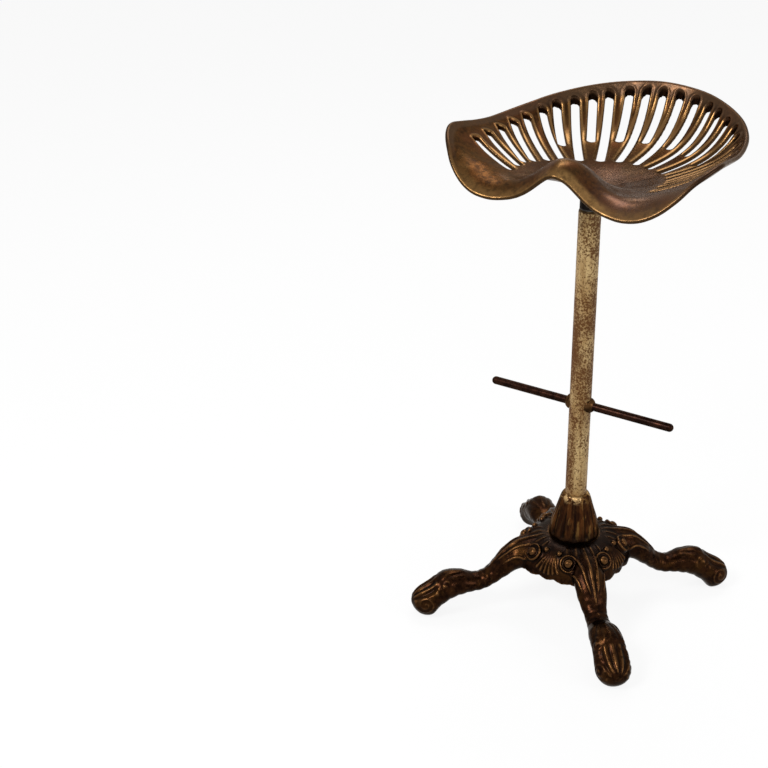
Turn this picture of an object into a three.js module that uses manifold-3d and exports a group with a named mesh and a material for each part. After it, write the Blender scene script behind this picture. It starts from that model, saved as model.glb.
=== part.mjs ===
// A swivelling stool: a slotted cast-iron implement seat on a pipe post, a round foot bar
// through the post, a fluted collar and a cast base with four cabriole legs.
// Millimetres, +Z up. The origin is on the floor under the post; two legs lie along X, two along Y.

import * as THREE from 'three';
import { mergeVertices } from 'three/addons/utils/BufferGeometryUtils.js';
import Module from 'manifold-3d';

const wasm = await Module();
wasm.setup();

const DEGREE = Math.PI / 180;
const FULL_TURN = 2 * Math.PI;
const QUARTER_TURN = Math.PI / 2;

// Fits and cutters
const SEAT_GAP = 0.3; // between pieces that touch
const RUNNING_GAP = 0.3; // between the turning spindle and its bushes
const OVERRUN = 4; // how far a cutter runs past the metal

// Base: the hub's top face is the level that the collar stands on
const HUB_TOP = 125;
const HUB_DEPTH = 47;
const HUB_FLAT_RADIUS = 42;
const HUB_SKIRT_RADIUS = 85;
const HUB_CORNER_REACH = 10; // how much farther the skirt reaches at the legs
const HUB_WALL = 8;
const HUB_CAVITY_RUN = 25; // how far the hollow runs down between the legs' roots
const SKIRT_CORNER_POWER = 1.5;
const SCALLOPS_PER_PANEL = 5;
const SCALLOP_DEPTH = 3;
const SOCKET_DEPTH = 33;
const SOCKET_RADIUS = 28;
const SOCKET_FLOOR = 9;

// Legs: reach from the post's axis, height of a section's middle, its half width and half height
const LEG_REACH = 262.5;
const LEG_HALF_WIDTH = 27.5;
const LEG_SECTION_SHARES = [
  // shares of the leg's reach, the hub's height, the leg's half width, the hub's height
  [0.17, 0.784, 0.93, 0.216],
  [0.343, 0.744, 0.91, 0.192],
  [0.419, 0.648, 0.873, 0.176],
  [0.457, 0.584, 0.818, 0.164],
  [0.495, 0.508, 0.709, 0.148],
  [0.533, 0.444, 0.655, 0.128],
  [0.571, 0.408, 0.655, 0.12],
  [0.61, 0.396, 0.69, 0.116],
  [0.648, 0.404, 0.782, 0.128],
  [0.686, 0.412, 0.873, 0.152],
  [0.724, 0.408, 0.909, 0.168],
  [0.762, 0.392, 0.927, 0.188],
  [0.8, 0.36, 0.945, 0.208],
  [0.838, 0.306, 0.982, 0.218],
  [0.876, 0.226, 1, 0.228],
  [0.914, 0.196, 0.964, 0.208],
  [0.952, 0.188, 0.836, 0.168],
  [0.983, 0.19, 0.582, 0.104],
  [1, 0.19, 0.15, 0.03],
];

// Panel ornament: two volutes and two balls on each panel between the legs
const VOLUTE_RADIUS = 14.5;
const VOLUTE_REACH = 77;
const VOLUTE_DROP = 15; // below the hub's top
const VOLUTE_TURN = 24.1 * DEGREE;
const VOLUTE_TILT = 50 * DEGREE;
const VOLUTE_PROFILE_SHARES = [
  [0, -0.8],
  [1, -0.8],
  [1, 0.1],
  [0.86, 0.3],
  [0.68, 0.1],
  [0.5, 0.1],
  [0.3, 0.4],
  [0, 0.5],
];
const BALL_RADIUS = 4.6;
const BALL_REACH = 66;
const BALL_DROP = 6;
const BALL_TURN = 10.2 * DEGREE;

// Post: a pipe from the socket in the base up to the swivel
const POST_RADIUS = 16.7;
const POST_WALL = 3.4;
const POST_LENGTH = 573;

// Foot bar: a round rod through the post, with a bead of braze on each side
const BAR_RADIUS = 6.35;
const BAR_HALF_LENGTH = 155.2;
const BAR_HEIGHT = 352;
const BAR_TURN = -43.4 * DEGREE;
const BEAD_THICKNESS = 5;
const BEAD_REACH = 6.5;
const BEAD_PROFILE_SHARES = [
  // share of the bead's thickness, and of its reach from the post
  [1, 0],
  [0.93, 0.45],
  [0.5, 0.8],
  [0, 1],
];
const BEAD_LUMP_SHARES = [[3, 0.12], [5, 0.1]]; // waves round the bead, and how far each swells it

// Collar: a fluted bell that hides the joint of post and base
const COLLAR_HEIGHT = 72;
const COLLAR_FOOT_RADIUS = 40;
const COLLAR_NECK_RADIUS = 18.6;
const COLLAR_FLUTES = 12;
const COLLAR_FLUTE_DEPTH = 2.2;
const COLLAR_FLUTE_FOOT_SHARE = 0.12; // the flutes die out over this much of the foot
const COLLAR_FLUTE_NECK_SHARE = 0.3; // and over this much of the neck
const COLLAR_PROFILE_SHARES = [
  // share of the height, and how far the radius has gone from foot to neck
  [0, 0.03],
  [0.04, 0],
  [0.15, 0.07],
  [0.28, 0.14],
  [0.41, 0.25],
  [0.53, 0.39],
  [0.66, 0.53],
  [0.79, 0.66],
  [0.91, 0.78],
  [0.97, 0.88],
  [1, 1],
];

// Swivel: the seat's spindle turns in two bushes inside the post, on a thrust washer
const SWIVEL_HEAD_RADIUS = 15.4;
const SWIVEL_HEAD_HEIGHT = 15;
const SPINDLE_RADIUS = 9.5;
const SPINDLE_LENGTH = 105;
const BUSH_FLANGE = 2.5;
const THRUST_WASHER_THICKNESS = 1.5;
const UPPER_BUSH_LENGTH = 30;
const LOWER_BUSH_LENGTH = 25;
const RETAINER_RADIUS = 12.2;
const RETAINER_THICKNESS = 3;
const RETAINER_BOLT_RADIUS = 4;
const RETAINER_BOLT_GRIP = 22;
const RETAINER_BOLT_HEAD_RADIUS = 7.2;
const RETAINER_BOLT_HEAD_HEIGHT = 5.3;

// Seat bolt: a round head in the bowl, its shank tapped into the spindle
const SEAT_BOLT_RADIUS = 4.75;
const SEAT_BOLT_GRIP = 36;
const SEAT_BOLT_HEAD_RADIUS = 9.5;
const SEAT_BOLT_HEAD_HEIGHT = 5;
const ROUND_HEAD_SHARES = [[1, 0], [0.94, 0.4], [0.7, 0.78], [0.35, 0.96], [0, 1]];

// Base bolt: ties the base to a plug in the foot of the post
const BASE_BOLT_RADIUS = 6;
const BASE_BOLT_HEAD_RADIUS = 10.5;
const BASE_BOLT_HEAD_HEIGHT = 8;
const BASE_BOLT_STAND_OUT = 4; // beyond the plug
const BASE_WASHER_RADIUS = 17;
const BASE_WASHER_THICKNESS = 2.5;
const POST_PLUG_LENGTH = 26;

// Seat pan: a bowl inside a rim, with a waterfall front and a raised pommel between the two
// thigh lobes. Azimuths run from the back, at zero, to the middle of the front, at 180 degrees.
const SEAT_TURN = -42 * DEGREE;
const SEAT_REACH = 252;
const SEAT_RISE = 96.5;
const PAN_THICKNESS = 7;
const RIM_SHARES = [
  // azimuth in degrees, share of the seat's reach, share of its rise
  [0, 0.973, 1],
  [13, 0.992, 0.948],
  [26, 0.953, 0.893],
  [40, 0.917, 0.8],
  [52, 0.875, 0.725],
  [64, 0.831, 0.692],
  [75, 0.803, 0.692],
  [86, 0.791, 0.742],
  [95, 0.809, 0.8],
  [102, 0.835, 0.834],
  [108, 0.833, 0.786],
  [115, 0.814, 0.65],
  [121, 0.791, 0.455],
  [127, 0.752, 0.268],
  [133, 0.702, 0.148],
  [139, 0.639, 0.1],
  [147, 0.563, 0.11],
  [156, 0.51, 0.132],
  [168, 0.48, 0.155],
  [180, 0.49, 0.165],
];
const EARLY_RISE_SHARES = [
  // azimuth in degrees, share of the rise that starts early rather than at the rim
  [0, 0.26],
  [20, 0.27],
  [35, 0.36],
  [43, 0.42],
  [50, 0.57],
  [64, 0.77],
  [79, 0.89],
  [100, 0.83],
  [112, 0.78],
  [180, 0.9],
];
const EARLY_RISE_POWER = 1.6;
const LATE_RISE_POWER = 8;
const WATERFALL_SHARES = [
  // azimuth in degrees, how far the edge falls below the bowl's own rise, of the seat's rise
  [0, 0],
  [100, 0],
  [112, 0.1],
  [121, 0.27],
  [129, 0.41],
  [139, 0.48],
  [180, 0.48],
];
const WATERFALL_START_SHARE = 0.6;
const POMMEL_HEIGHT = 41;
const POMMEL_FRONT_HALF_WIDTH = 43;
const POMMEL_BACK_HALF_WIDTH = 70;
const POMMEL_CREST = -60; // full height from here forward
const POMMEL_BACK = 20; // where it starts to rise
const PAN_LEAN_SHARE = 0.02; // the pan drops by this share of the way towards -X from its middle
const PAN_BOSS_RADIUS = 15.5;
const PAN_BOSS_DROP = 5;
const PAN_LAND_RADIUS = 11.5;
const PAN_LAND_RISE = 7;
const PAN_RING_SHARES = [0.06, 0.18, 0.36, 0.52, 0.65, 0.77, 0.88, 0.95, 1];
const PAN_SPOKES = 76;
const RIM_ARC_STEPS = 2;

// Slots on one side of the seat, counted from the one at the back, which is its own mirror image
const SLOT_WIDTH = 13;
const SLOT_INNER_CAP_SHARE = 0.7; // depth of the rounded inner end, of half the slot's width
const SLOT_OUTER_CAP_SHARE = 0.42; // shallower in plan, because the wall is steep there
const SLOT_SHARES = [
  // inner end: azimuth in degrees, share of the reach; outer end: azimuth, inset as a share
  [0, 0.714, 0, 0.008],
  [6.4, 0.464, 6.6, 0.008],
  [12.9, 0.714, 12.9, 0.011],
  [19.5, 0.452, 19.9, 0.014],
  [26.4, 0.682, 26, 0.014],
  [34.9, 0.442, 32.9, 0.02],
  [42.2, 0.626, 40.3, 0.018],
  [48.3, 0.435, 46.7, 0.027],
  [62.9, 0.421, 55.2, 0.039],
  [77.8, 0.424, 63.4, 0.048],
  [88.1, 0.435, 73.3, 0.058],
  [98, 0.435, 85.3, 0.071],
  [109.8, 0.454, 96.8, 0.092],
];

// Facets round each kind of shape
const ROUND = 24;
const SMALL_ROUND = 18;
const VOLUTE_ROUND = 12;
const BALL_ROUND = 8;
const BALL_STEPS = 5;
const LEG_ROUND = 12;
const HUB_ROUND = 80;
const CAVITY_ROUND = 32;
const HUB_STEPS = 6;
const FACETS_PER_FLUTE = 4;
const DOME_STEPS = 4;
const SLOT_END_FACETS = 3;
const HEX = 6;

// Levels that follow from the sizes above
const SOCKET_BOTTOM = HUB_TOP - SOCKET_DEPTH - SEAT_GAP;
const SOCKET_UNDERSIDE = SOCKET_BOTTOM - SOCKET_FLOOR;
const HUB_SKIRT = HUB_TOP - HUB_DEPTH;
const POST_FOOT = HUB_TOP - SOCKET_DEPTH;
const POST_HEAD = POST_FOOT + POST_LENGTH;
const POST_BORE = POST_RADIUS - POST_WALL;
const COLLAR_FOOT = HUB_TOP + SEAT_GAP;
const FLANGE_FOOT = POST_HEAD + SEAT_GAP;
const THRUST_WASHER_FOOT = FLANGE_FOOT + BUSH_FLANGE + SEAT_GAP;
const SWIVEL_SHOULDER = THRUST_WASHER_FOOT + THRUST_WASHER_THICKNESS + SEAT_GAP;
const SWIVEL_TOP = SWIVEL_SHOULDER + SWIVEL_HEAD_HEIGHT;
const SPINDLE_FOOT = SWIVEL_SHOULDER - SPINDLE_LENGTH;
const PAN_BOSS_FOOT = SWIVEL_TOP + SEAT_GAP;
const PAN_FLOOR = PAN_BOSS_FOOT + PAN_BOSS_DROP + PAN_THICKNESS;
const PAN_LAND = PAN_FLOOR + PAN_LAND_RISE;

// Curves

const clamp = (share) => Math.min(1, Math.max(0, share));
const ease = (share) => clamp(share) ** 2 * (3 - 2 * clamp(share));
const mix = (from, to, share) => from + (to - from) * share;
const between = (from, to, place) => clamp((place - from) / (to - from));

// A smooth curve through rows of [place, value, ...]; column picks the value
function curveThrough(rows, place, column = 1) {
  const last = rows.length - 1;
  let i = 0;
  while (i < last - 1 && place > rows[i + 1][0]) i += 1;
  const slopeAt = (k) => {
    if (k === 0 || k === last) return 0;
    return (rows[k + 1][column] - rows[k - 1][column]) / (rows[k + 1][0] - rows[k - 1][0]);
  };
  const span = rows[i + 1][0] - rows[i][0];
  const t = between(rows[i][0], rows[i + 1][0], place);
  const lean = slopeAt(i) * t * (1 - t) ** 2 - slopeAt(i + 1) * t ** 2 * (1 - t);
  return mix(rows[i][column], rows[i + 1][column], ease(t)) + span * lean;
}

// The points of a closed ring; pointAt gets the turn of each
function ringOf(count, pointAt) {
  return Array.from({ length: count }, (_, k) => pointAt((k / count) * FULL_TURN));
}

const onCircle = (radius, turn, height) => (
  new THREE.Vector3(radius * Math.cos(turn), radius * Math.sin(turn), height)
);

// Closed bodies

function indexedGeometry(points, faces) {
  const geometry = new THREE.BufferGeometry();
  const places = points.flatMap((point) => point.toArray());
  geometry.setAttribute('position', new THREE.Float32BufferAttribute(places, 3));
  geometry.setIndex(faces);
  return geometry;
}

// A body through rings of equal point counts, each wound anticlockwise seen from the last one's
// side, with a fan over each end
function loft(rings) {
  const count = rings[0].length;
  const points = rings.flat();
  const faces = [];
  for (let row = 0; row + 1 < rings.length; row += 1) {
    for (let k = 0; k < count; k += 1) {
      const a = row * count + k;
      const b = row * count + ((k + 1) % count);
      faces.push(a, b, b + count, a, b + count, a + count);
    }
  }
  for (const row of [0, rings.length - 1]) {
    const middle = new THREE.Vector3();
    rings[row].forEach((point) => middle.addScaledVector(point, 1 / count));
    points.push(middle);
    for (let k = 0; k < count; k += 1) {
      const edge = [row * count + k, row * count + ((k + 1) % count)];
      if (row === 0) edge.reverse();
      faces.push(...edge, points.length - 1);
    }
  }
  return indexedGeometry(points, faces);
}

// A ring-shaped body through sections that close on themselves
function loftRound(sections) {
  const count = sections[0].length;
  const total = sections.length;
  const faces = [];
  for (let s = 0; s < total; s += 1) {
    const next = (s + 1) % total;
    for (let k = 0; k < count; k += 1) {
      const across = (k + 1) % count;
      const a = s * count + k;
      const b = s * count + across;
      const c = next * count + across;
      const d = next * count + k;
      faces.push(a, c, b, a, d, c);
    }
  }
  return indexedGeometry(sections.flat(), faces);
}

// Revolves [radius, height] points round Z
function revolve(profile, segments = ROUND) {
  const outline = profile.map(([radius, height]) => new THREE.Vector2(radius, height));
  return new THREE.LatheGeometry(outline, segments).rotateX(QUARTER_TURN);
}

// A sleeve with its axis on Z
function sleeve(inner, outer, low, high) {
  return revolve([[inner, low], [outer, low], [outer, high], [inner, high], [inner, low]]);
}

// A solid rod with its axis on Z
function rod(radius, low, high, segments = ROUND) {
  return revolve([[0, low], [radius, low], [radius, high], [0, high]], segments);
}

// Booleans

function solidOf(geometry) {
  const bare = geometry.clone();
  bare.deleteAttribute('normal');
  bare.deleteAttribute('uv');
  const merged = mergeVertices(bare);
  const corners = merged.index.array;
  const kept = [];
  for (let i = 0; i < corners.length; i += 3) {
    const [a, b, c] = [corners[i], corners[i + 1], corners[i + 2]];
    if (a !== b && b !== c && c !== a) kept.push(a, b, c);
  }
  return new wasm.Manifold(new wasm.Mesh({
    numProp: 3,
    vertProperties: new Float32Array(merged.attributes.position.array),
    triVerts: new Uint32Array(kept),
  }));
}

function geometryOf(solid) {
  const mesh = solid.getMesh();
  const geometry = new THREE.BufferGeometry();
  geometry.setAttribute('position', new THREE.BufferAttribute(mesh.vertProperties, 3));
  geometry.setIndex(new THREE.BufferAttribute(mesh.triVerts, 1));
  return geometry;
}

const join = (solid, ...geometries) => (
  geometries.reduce((whole, geometry) => whole.add(solidOf(geometry)), solid)
);
const cut = (solid, ...geometries) => (
  geometries.reduce((whole, geometry) => whole.subtract(solidOf(geometry)), solid)
);

// Finishes

const seatIron = () => new THREE.MeshStandardMaterial({ color: 0x4d3318, roughness: 0.42, metalness: 0.75 });
const baseIron = () => new THREE.MeshStandardMaterial({ color: 0x2e1b10, roughness: 0.5, metalness: 0.6 });
const collarIron = () => new THREE.MeshStandardMaterial({ color: 0x4a2c14, roughness: 0.5, metalness: 0.6 });
const wornPaint = () => new THREE.MeshStandardMaterial({ color: 0xa8946a, roughness: 0.6, metalness: 0.1 });
const barSteel = () => new THREE.MeshStandardMaterial({ color: 0x35180f, roughness: 0.45, metalness: 0.6 });
const braze = () => new THREE.MeshStandardMaterial({ color: 0x3a2012, roughness: 0.6, metalness: 0.5 });
const blackSteel = () => new THREE.MeshStandardMaterial({ color: 0x151210, roughness: 0.55, metalness: 0.6 });
const plainSteel = () => new THREE.MeshStandardMaterial({ color: 0x8b8d8f, roughness: 0.35, metalness: 0.9 });
const bronze = () => new THREE.MeshStandardMaterial({ color: 0x8a6a3a, roughness: 0.4, metalness: 0.85 });

// Seat pan

const azimuthOf = (x, y) => Math.atan2(Math.abs(x), y) / DEGREE;
const rimRadius = (azimuth) => SEAT_REACH * curveThrough(RIM_SHARES, azimuth);

// Height of the pan's top surface above the floor of the bowl
function panRise(x, y) {
  const azimuth = azimuthOf(x, y);
  const out = Math.hypot(x, y) / rimRadius(azimuth);
  const fall = SEAT_RISE * curveThrough(WATERFALL_SHARES, azimuth);
  const rim = SEAT_RISE * curveThrough(RIM_SHARES, azimuth, 2);
  const early = curveThrough(EARLY_RISE_SHARES, azimuth);
  const climb = early * out ** EARLY_RISE_POWER + (1 - early) * out ** LATE_RISE_POWER;
  const bowl = (rim + fall) * climb - fall * between(WATERFALL_START_SHARE, 1, out) ** 2;
  const back = between(-rimRadius(180), POMMEL_BACK, y);
  const halfWidth = mix(POMMEL_FRONT_HALF_WIDTH, POMMEL_BACK_HALF_WIDTH, back);
  const crest = ease(between(POMMEL_BACK, POMMEL_CREST, y));
  const pommel = POMMEL_HEIGHT * crest * Math.exp(-((x / halfWidth) ** 2));
  return bowl + pommel + PAN_LEAN_SHARE * x;
}

const panPoint = (x, y) => new THREE.Vector3(x, y, PAN_FLOOR + panRise(x, y));

function panNormal(x, y) {
  const step = SEAT_GAP;
  const inward = 1 - step / Math.max(step, Math.hypot(x, y));
  const [u, v] = [x * inward, y * inward];
  const slopeX = (panRise(u + step / 2, v) - panRise(u - step / 2, v)) / step;
  const slopeY = (panRise(u, v + step / 2) - panRise(u, v - step / 2)) / step;
  return new THREE.Vector3(-slopeX, -slopeY, 1).normalize();
}

// The plate: rings of the top surface, the same rings a plate's thickness below, and a bead
function panShell() {
  const top = PAN_RING_SHARES.map((share) => ringOf(PAN_SPOKES, (turn) => {
    const radius = share * rimRadius(azimuthOf(Math.sin(turn), Math.cos(turn)));
    return panPoint(-radius * Math.sin(turn), radius * Math.cos(turn));
  }));
  const under = top.map((ring) => ring.map((point) => (
    point.clone().addScaledVector(panNormal(point.x, point.y), -PAN_THICKNESS)
  )));
  const bead = rimBead(top.at(-1), under.at(-1));
  return loft([...under, ...bead.reverse(), ...top.reverse()]);
}

// The half-round edge between the outermost ring of the top and the one below it
function rimBead(edge, underEdge) {
  const count = edge.length;
  return Array.from({ length: RIM_ARC_STEPS }, (_, step) => {
    const turn = ((step + 1) / (RIM_ARC_STEPS + 1)) * Math.PI;
    return edge.map((point, k) => {
      const down = underEdge[k].clone().sub(point).divideScalar(2);
      const run = edge[(k + 1) % count].clone().sub(edge[(k + count - 1) % count]);
      const outward = down.clone().cross(run).normalize().multiplyScalar(down.length());
      return point.clone().addScaledVector(down, 1 - Math.cos(turn))
        .addScaledVector(outward, Math.sin(turn));
    });
  });
}

// The boss under the pan rises into the plate, whatever the plate's slope
function panBoss() {
  const intoPlate = (point) => point.setZ(panPoint(point.x, point.y).z - PAN_THICKNESS / 2);
  return loft([
    ringOf(ROUND, (turn) => onCircle(PAN_BOSS_RADIUS, turn, PAN_BOSS_FOOT)),
    ringOf(ROUND, (turn) => intoPlate(onCircle(PAN_BOSS_RADIUS, turn, 0))),
    ringOf(ROUND, (turn) => intoPlate(onCircle(PAN_LAND_RADIUS, turn, 0))),
  ]);
}

// Where a slot starts and ends in plan; side is 1 or -1
function slotEnds([innerAzimuth, startShare, outerAzimuth, insetShare], side) {
  const placeAt = (radius, azimuth) => new THREE.Vector2(
    side * radius * Math.sin(azimuth * DEGREE),
    radius * Math.cos(azimuth * DEGREE),
  );
  const end = rimRadius(outerAzimuth) - insetShare * SEAT_REACH;
  return [placeAt(startShare * SEAT_REACH, innerAzimuth), placeAt(end, outerAzimuth)];
}

// An upright round-ended cutter: the slots' walls are vertical, as they leave the mould
function slotCutter([inner, outer]) {
  const half = SLOT_WIDTH / 2;
  const run = outer.clone().sub(inner);
  const shape = new THREE.Shape();
  const innerCap = half * SLOT_INNER_CAP_SHARE;
  const outerCap = half * SLOT_OUTER_CAP_SHARE;
  shape.absellipse(innerCap, 0, innerCap, half, QUARTER_TURN, 3 * QUARTER_TURN, false);
  shape.absellipse(run.length() - outerCap, 0, outerCap, half, -QUARTER_TURN, QUARTER_TURN, false);
  const low = PAN_FLOOR - PAN_THICKNESS - OVERRUN;
  const high = PAN_FLOOR + SEAT_RISE + PAN_THICKNESS + OVERRUN;
  return new THREE.ExtrudeGeometry(shape, {
    depth: high - low,
    bevelEnabled: false,
    curveSegments: SLOT_END_FACETS,
  }).rotateZ(run.angle()).translate(inner.x, inner.y, low);
}

function seatPan() {
  const land = rod(PAN_LAND_RADIUS, PAN_BOSS_FOOT + PAN_BOSS_DROP, PAN_LAND);
  const overLand = rod(PAN_LAND_RADIUS, PAN_LAND, PAN_LAND + POMMEL_HEIGHT);
  const boltHole = rod(
    SEAT_BOLT_RADIUS + SEAT_GAP,
    PAN_BOSS_FOOT - OVERRUN,
    PAN_LAND + OVERRUN,
    SMALL_ROUND,
  );
  const slots = SLOT_SHARES.flatMap((shares, order) => (
    (order === 0 ? [1] : [-1, 1]).map((side) => slotCutter(slotEnds(shares, side)))
  ));
  const plate = join(solidOf(panShell()), panBoss(), land);
  return geometryOf(cut(plate, overLand, boltHole, ...slots));
}

// Seat bolt, spindle and its retainer, which turn with the seat

function seatBolt() {
  const low = PAN_LAND + SEAT_GAP;
  const tip = PAN_LAND - SEAT_BOLT_GRIP;
  return revolve([
    [0, tip],
    [SEAT_BOLT_RADIUS, tip],
    [SEAT_BOLT_RADIUS, low],
    ...ROUND_HEAD_SHARES.map(([out, up]) => (
      [SEAT_BOLT_HEAD_RADIUS * out, low + SEAT_BOLT_HEAD_HEIGHT * up]
    )),
  ], SMALL_ROUND);
}

function swivelSpindle() {
  const seatBore = SEAT_BOLT_RADIUS + SEAT_GAP;
  const retainerBore = RETAINER_BOLT_RADIUS + SEAT_GAP;
  const seatBoreEnd = PAN_LAND - SEAT_BOLT_GRIP - SEAT_GAP;
  const retainerBoreEnd = SPINDLE_FOOT + RETAINER_BOLT_GRIP + SEAT_GAP;
  return revolve([
    [0, retainerBoreEnd],
    [retainerBore, retainerBoreEnd],
    [retainerBore, SPINDLE_FOOT],
    [SPINDLE_RADIUS, SPINDLE_FOOT],
    [SPINDLE_RADIUS, SWIVEL_SHOULDER],
    [SWIVEL_HEAD_RADIUS, SWIVEL_SHOULDER],
    [SWIVEL_HEAD_RADIUS, SWIVEL_TOP],
    [seatBore, SWIVEL_TOP],
    [seatBore, seatBoreEnd],
    [0, seatBoreEnd],
  ]);
}

function retainerWasher() {
  const top = SPINDLE_FOOT - SEAT_GAP;
  return sleeve(RETAINER_BOLT_RADIUS + SEAT_GAP, RETAINER_RADIUS, top - RETAINER_THICKNESS, top);
}

function retainerBolt() {
  const headTop = SPINDLE_FOOT - RETAINER_THICKNESS - 2 * SEAT_GAP;
  const headFoot = headTop - RETAINER_BOLT_HEAD_HEIGHT;
  const head = rod(RETAINER_BOLT_HEAD_RADIUS, headFoot, headTop, HEX);
  const shank = rod(RETAINER_BOLT_RADIUS, headFoot, SPINDLE_FOOT + RETAINER_BOLT_GRIP, SMALL_ROUND);
  return geometryOf(join(solidOf(head), shank));
}

// Bushes and thrust washer, which stay with the post

const BUSH_BORE = SPINDLE_RADIUS + RUNNING_GAP;
const BUSH_RADIUS = POST_BORE - SEAT_GAP;

function upperBush() {
  const low = POST_HEAD - UPPER_BUSH_LENGTH;
  return revolve([
    [BUSH_BORE, low],
    [BUSH_RADIUS, low],
    [BUSH_RADIUS, FLANGE_FOOT],
    [SWIVEL_HEAD_RADIUS, FLANGE_FOOT],
    [SWIVEL_HEAD_RADIUS, FLANGE_FOOT + BUSH_FLANGE],
    [BUSH_BORE, FLANGE_FOOT + BUSH_FLANGE],
    [BUSH_BORE, low],
  ]);
}

function thrustWasher() {
  const low = THRUST_WASHER_FOOT;
  return sleeve(BUSH_BORE, SWIVEL_HEAD_RADIUS, low, low + THRUST_WASHER_THICKNESS);
}

function lowerBush() {
  const low = SPINDLE_FOOT + SEAT_GAP;
  return sleeve(BUSH_BORE, BUSH_RADIUS, low, low + LOWER_BUSH_LENGTH);
}

// Post, foot bar and the beads that fix the bar

const acrossPost = (geometry) => (
  geometry.rotateY(QUARTER_TURN).rotateZ(BAR_TURN).translate(0, 0, BAR_HEIGHT)
);

function post() {
  const reach = POST_RADIUS + OVERRUN;
  const barHole = acrossPost(rod(BAR_RADIUS + SEAT_GAP, -reach, reach, SMALL_ROUND));
  return geometryOf(cut(solidOf(sleeve(POST_BORE, POST_RADIUS, POST_FOOT, POST_HEAD)), barHole));
}

function footBar() {
  const straight = BAR_HALF_LENGTH - BAR_RADIUS;
  const dome = Array.from({ length: DOME_STEPS }, (_, k) => {
    const turn = (k / DOME_STEPS) * QUARTER_TURN;
    return [BAR_RADIUS * Math.cos(turn), straight + BAR_RADIUS * Math.sin(turn)];
  });
  dome.push([0, BAR_HALF_LENGTH]);
  const otherDome = dome.map(([radius, height]) => [radius, -height]).reverse();
  return acrossPost(revolve([...otherDome, ...dome], SMALL_ROUND));
}

// A lumpy fillet round the bar where it leaves the post; side is 1 or -1
function barBead(side) {
  const inner = BAR_RADIUS + SEAT_GAP;
  const foot = POST_RADIUS - BEAD_THICKNESS;
  const reach = BEAD_THICKNESS + BEAD_REACH;
  const sections = Array.from({ length: SMALL_ROUND }, (_, k) => {
    const turn = (k / SMALL_ROUND) * FULL_TURN;
    const lump = BEAD_LUMP_SHARES.reduce((sum, [waves, share]) => (
      sum + share * Math.sin(waves * turn + side)
    ), 1);
    const outline = BEAD_PROFILE_SHARES.map(([thick, out]) => (
      onCircle(inner + BEAD_THICKNESS * thick * lump, turn, side * (foot + reach * out))
    ));
    return [onCircle(inner, turn, side * foot), ...outline];
  });
  const bead = solidOf(acrossPost(loftRound(side > 0 ? sections : sections.reverse())));
  const span = BAR_RADIUS + 2 * BEAD_THICKNESS;
  const aroundPost = rod(POST_RADIUS + SEAT_GAP, BAR_HEIGHT - span, BAR_HEIGHT + span);
  return geometryOf(cut(bead, aroundPost));
}

// Collar

function collar() {
  const rings = COLLAR_PROFILE_SHARES.map(([up, inward]) => {
    const radius = mix(COLLAR_FOOT_RADIUS, COLLAR_NECK_RADIUS, inward);
    const depth = COLLAR_FLUTE_DEPTH * ease(up / COLLAR_FLUTE_FOOT_SHARE)
      * ease((1 - up) / COLLAR_FLUTE_NECK_SHARE);
    return ringOf(COLLAR_FLUTES * FACETS_PER_FLUTE, (turn) => {
      const groove = ((1 - Math.cos(COLLAR_FLUTES * turn)) / 2) ** 2;
      return onCircle(radius - depth * groove, turn, COLLAR_FOOT + up * COLLAR_HEIGHT);
    });
  });
  const bore = rod(POST_RADIUS + SEAT_GAP, HUB_TOP - OVERRUN, HUB_TOP + COLLAR_HEIGHT + OVERRUN);
  return geometryOf(cut(solidOf(loft(rings)), bore));
}

// Base casting

// Zero at the legs and one at the middle of a panel
const towardsPanel = (turn) => Math.abs(Math.sin(2 * turn));

// One ring of the hub's dome, a share of the way from the flat top to the skirt
function hubRing(share, count, wall) {
  const bend = share * QUARTER_TURN;
  const height = HUB_TOP - wall - (HUB_DEPTH - wall) * (1 - Math.cos(bend));
  return ringOf(count, (turn) => {
    const corner = HUB_CORNER_REACH * (1 - towardsPanel(turn) ** SKIRT_CORNER_POWER);
    const skirt = HUB_SKIRT_RADIUS + corner - wall;
    return onCircle(mix(HUB_FLAT_RADIUS, skirt, Math.sin(bend)), turn, height);
  });
}

function hubDome(count, wall) {
  return Array.from({ length: HUB_STEPS + 1 }, (_, k) => hubRing(1 - k / HUB_STEPS, count, wall));
}

// The outside of the hub, its skirt scalloped between the legs
function hubOutside() {
  const rings = hubDome(HUB_ROUND, 0);
  rings[0].forEach((point) => {
    const turn = Math.atan2(point.y, point.x);
    const wave = Math.abs(Math.sin(2 * SCALLOPS_PER_PANEL * turn));
    point.z += SCALLOP_DEPTH * (1 - wave) * towardsPanel(turn);
  });
  return loft(rings);
}

// The hollow under the hub, carried down between the roots of the legs
function hubInside() {
  const rings = hubDome(CAVITY_ROUND, HUB_WALL);
  const mouth = rings[0].map((point) => point.clone().setZ(HUB_SKIRT - HUB_CAVITY_RUN));
  return loft([mouth, ...rings]);
}

function leg(quarter) {
  const rings = LEG_SECTION_SHARES.map(([out, middle, wide, tall]) => (
    ringOf(LEG_ROUND, (turn) => new THREE.Vector3(
      LEG_REACH * out,
      LEG_HALF_WIDTH * wide * Math.cos(turn),
      HUB_TOP * (middle + tall * Math.sin(turn)),
    ))
  ));
  return loft(rings).rotateZ(quarter * QUARTER_TURN);
}

// A volute on a panel: a raised ring round a boss; side is 1 or -1
function volute(panelTurn, side) {
  const profile = VOLUTE_PROFILE_SHARES.map(([out, up]) => [VOLUTE_RADIUS * out, VOLUTE_RADIUS * up]);
  return revolve(profile, VOLUTE_ROUND)
    .rotateY(VOLUTE_TILT)
    .translate(VOLUTE_REACH, 0, HUB_TOP - VOLUTE_DROP)
    .rotateZ(panelTurn + side * VOLUTE_TURN);
}

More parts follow.
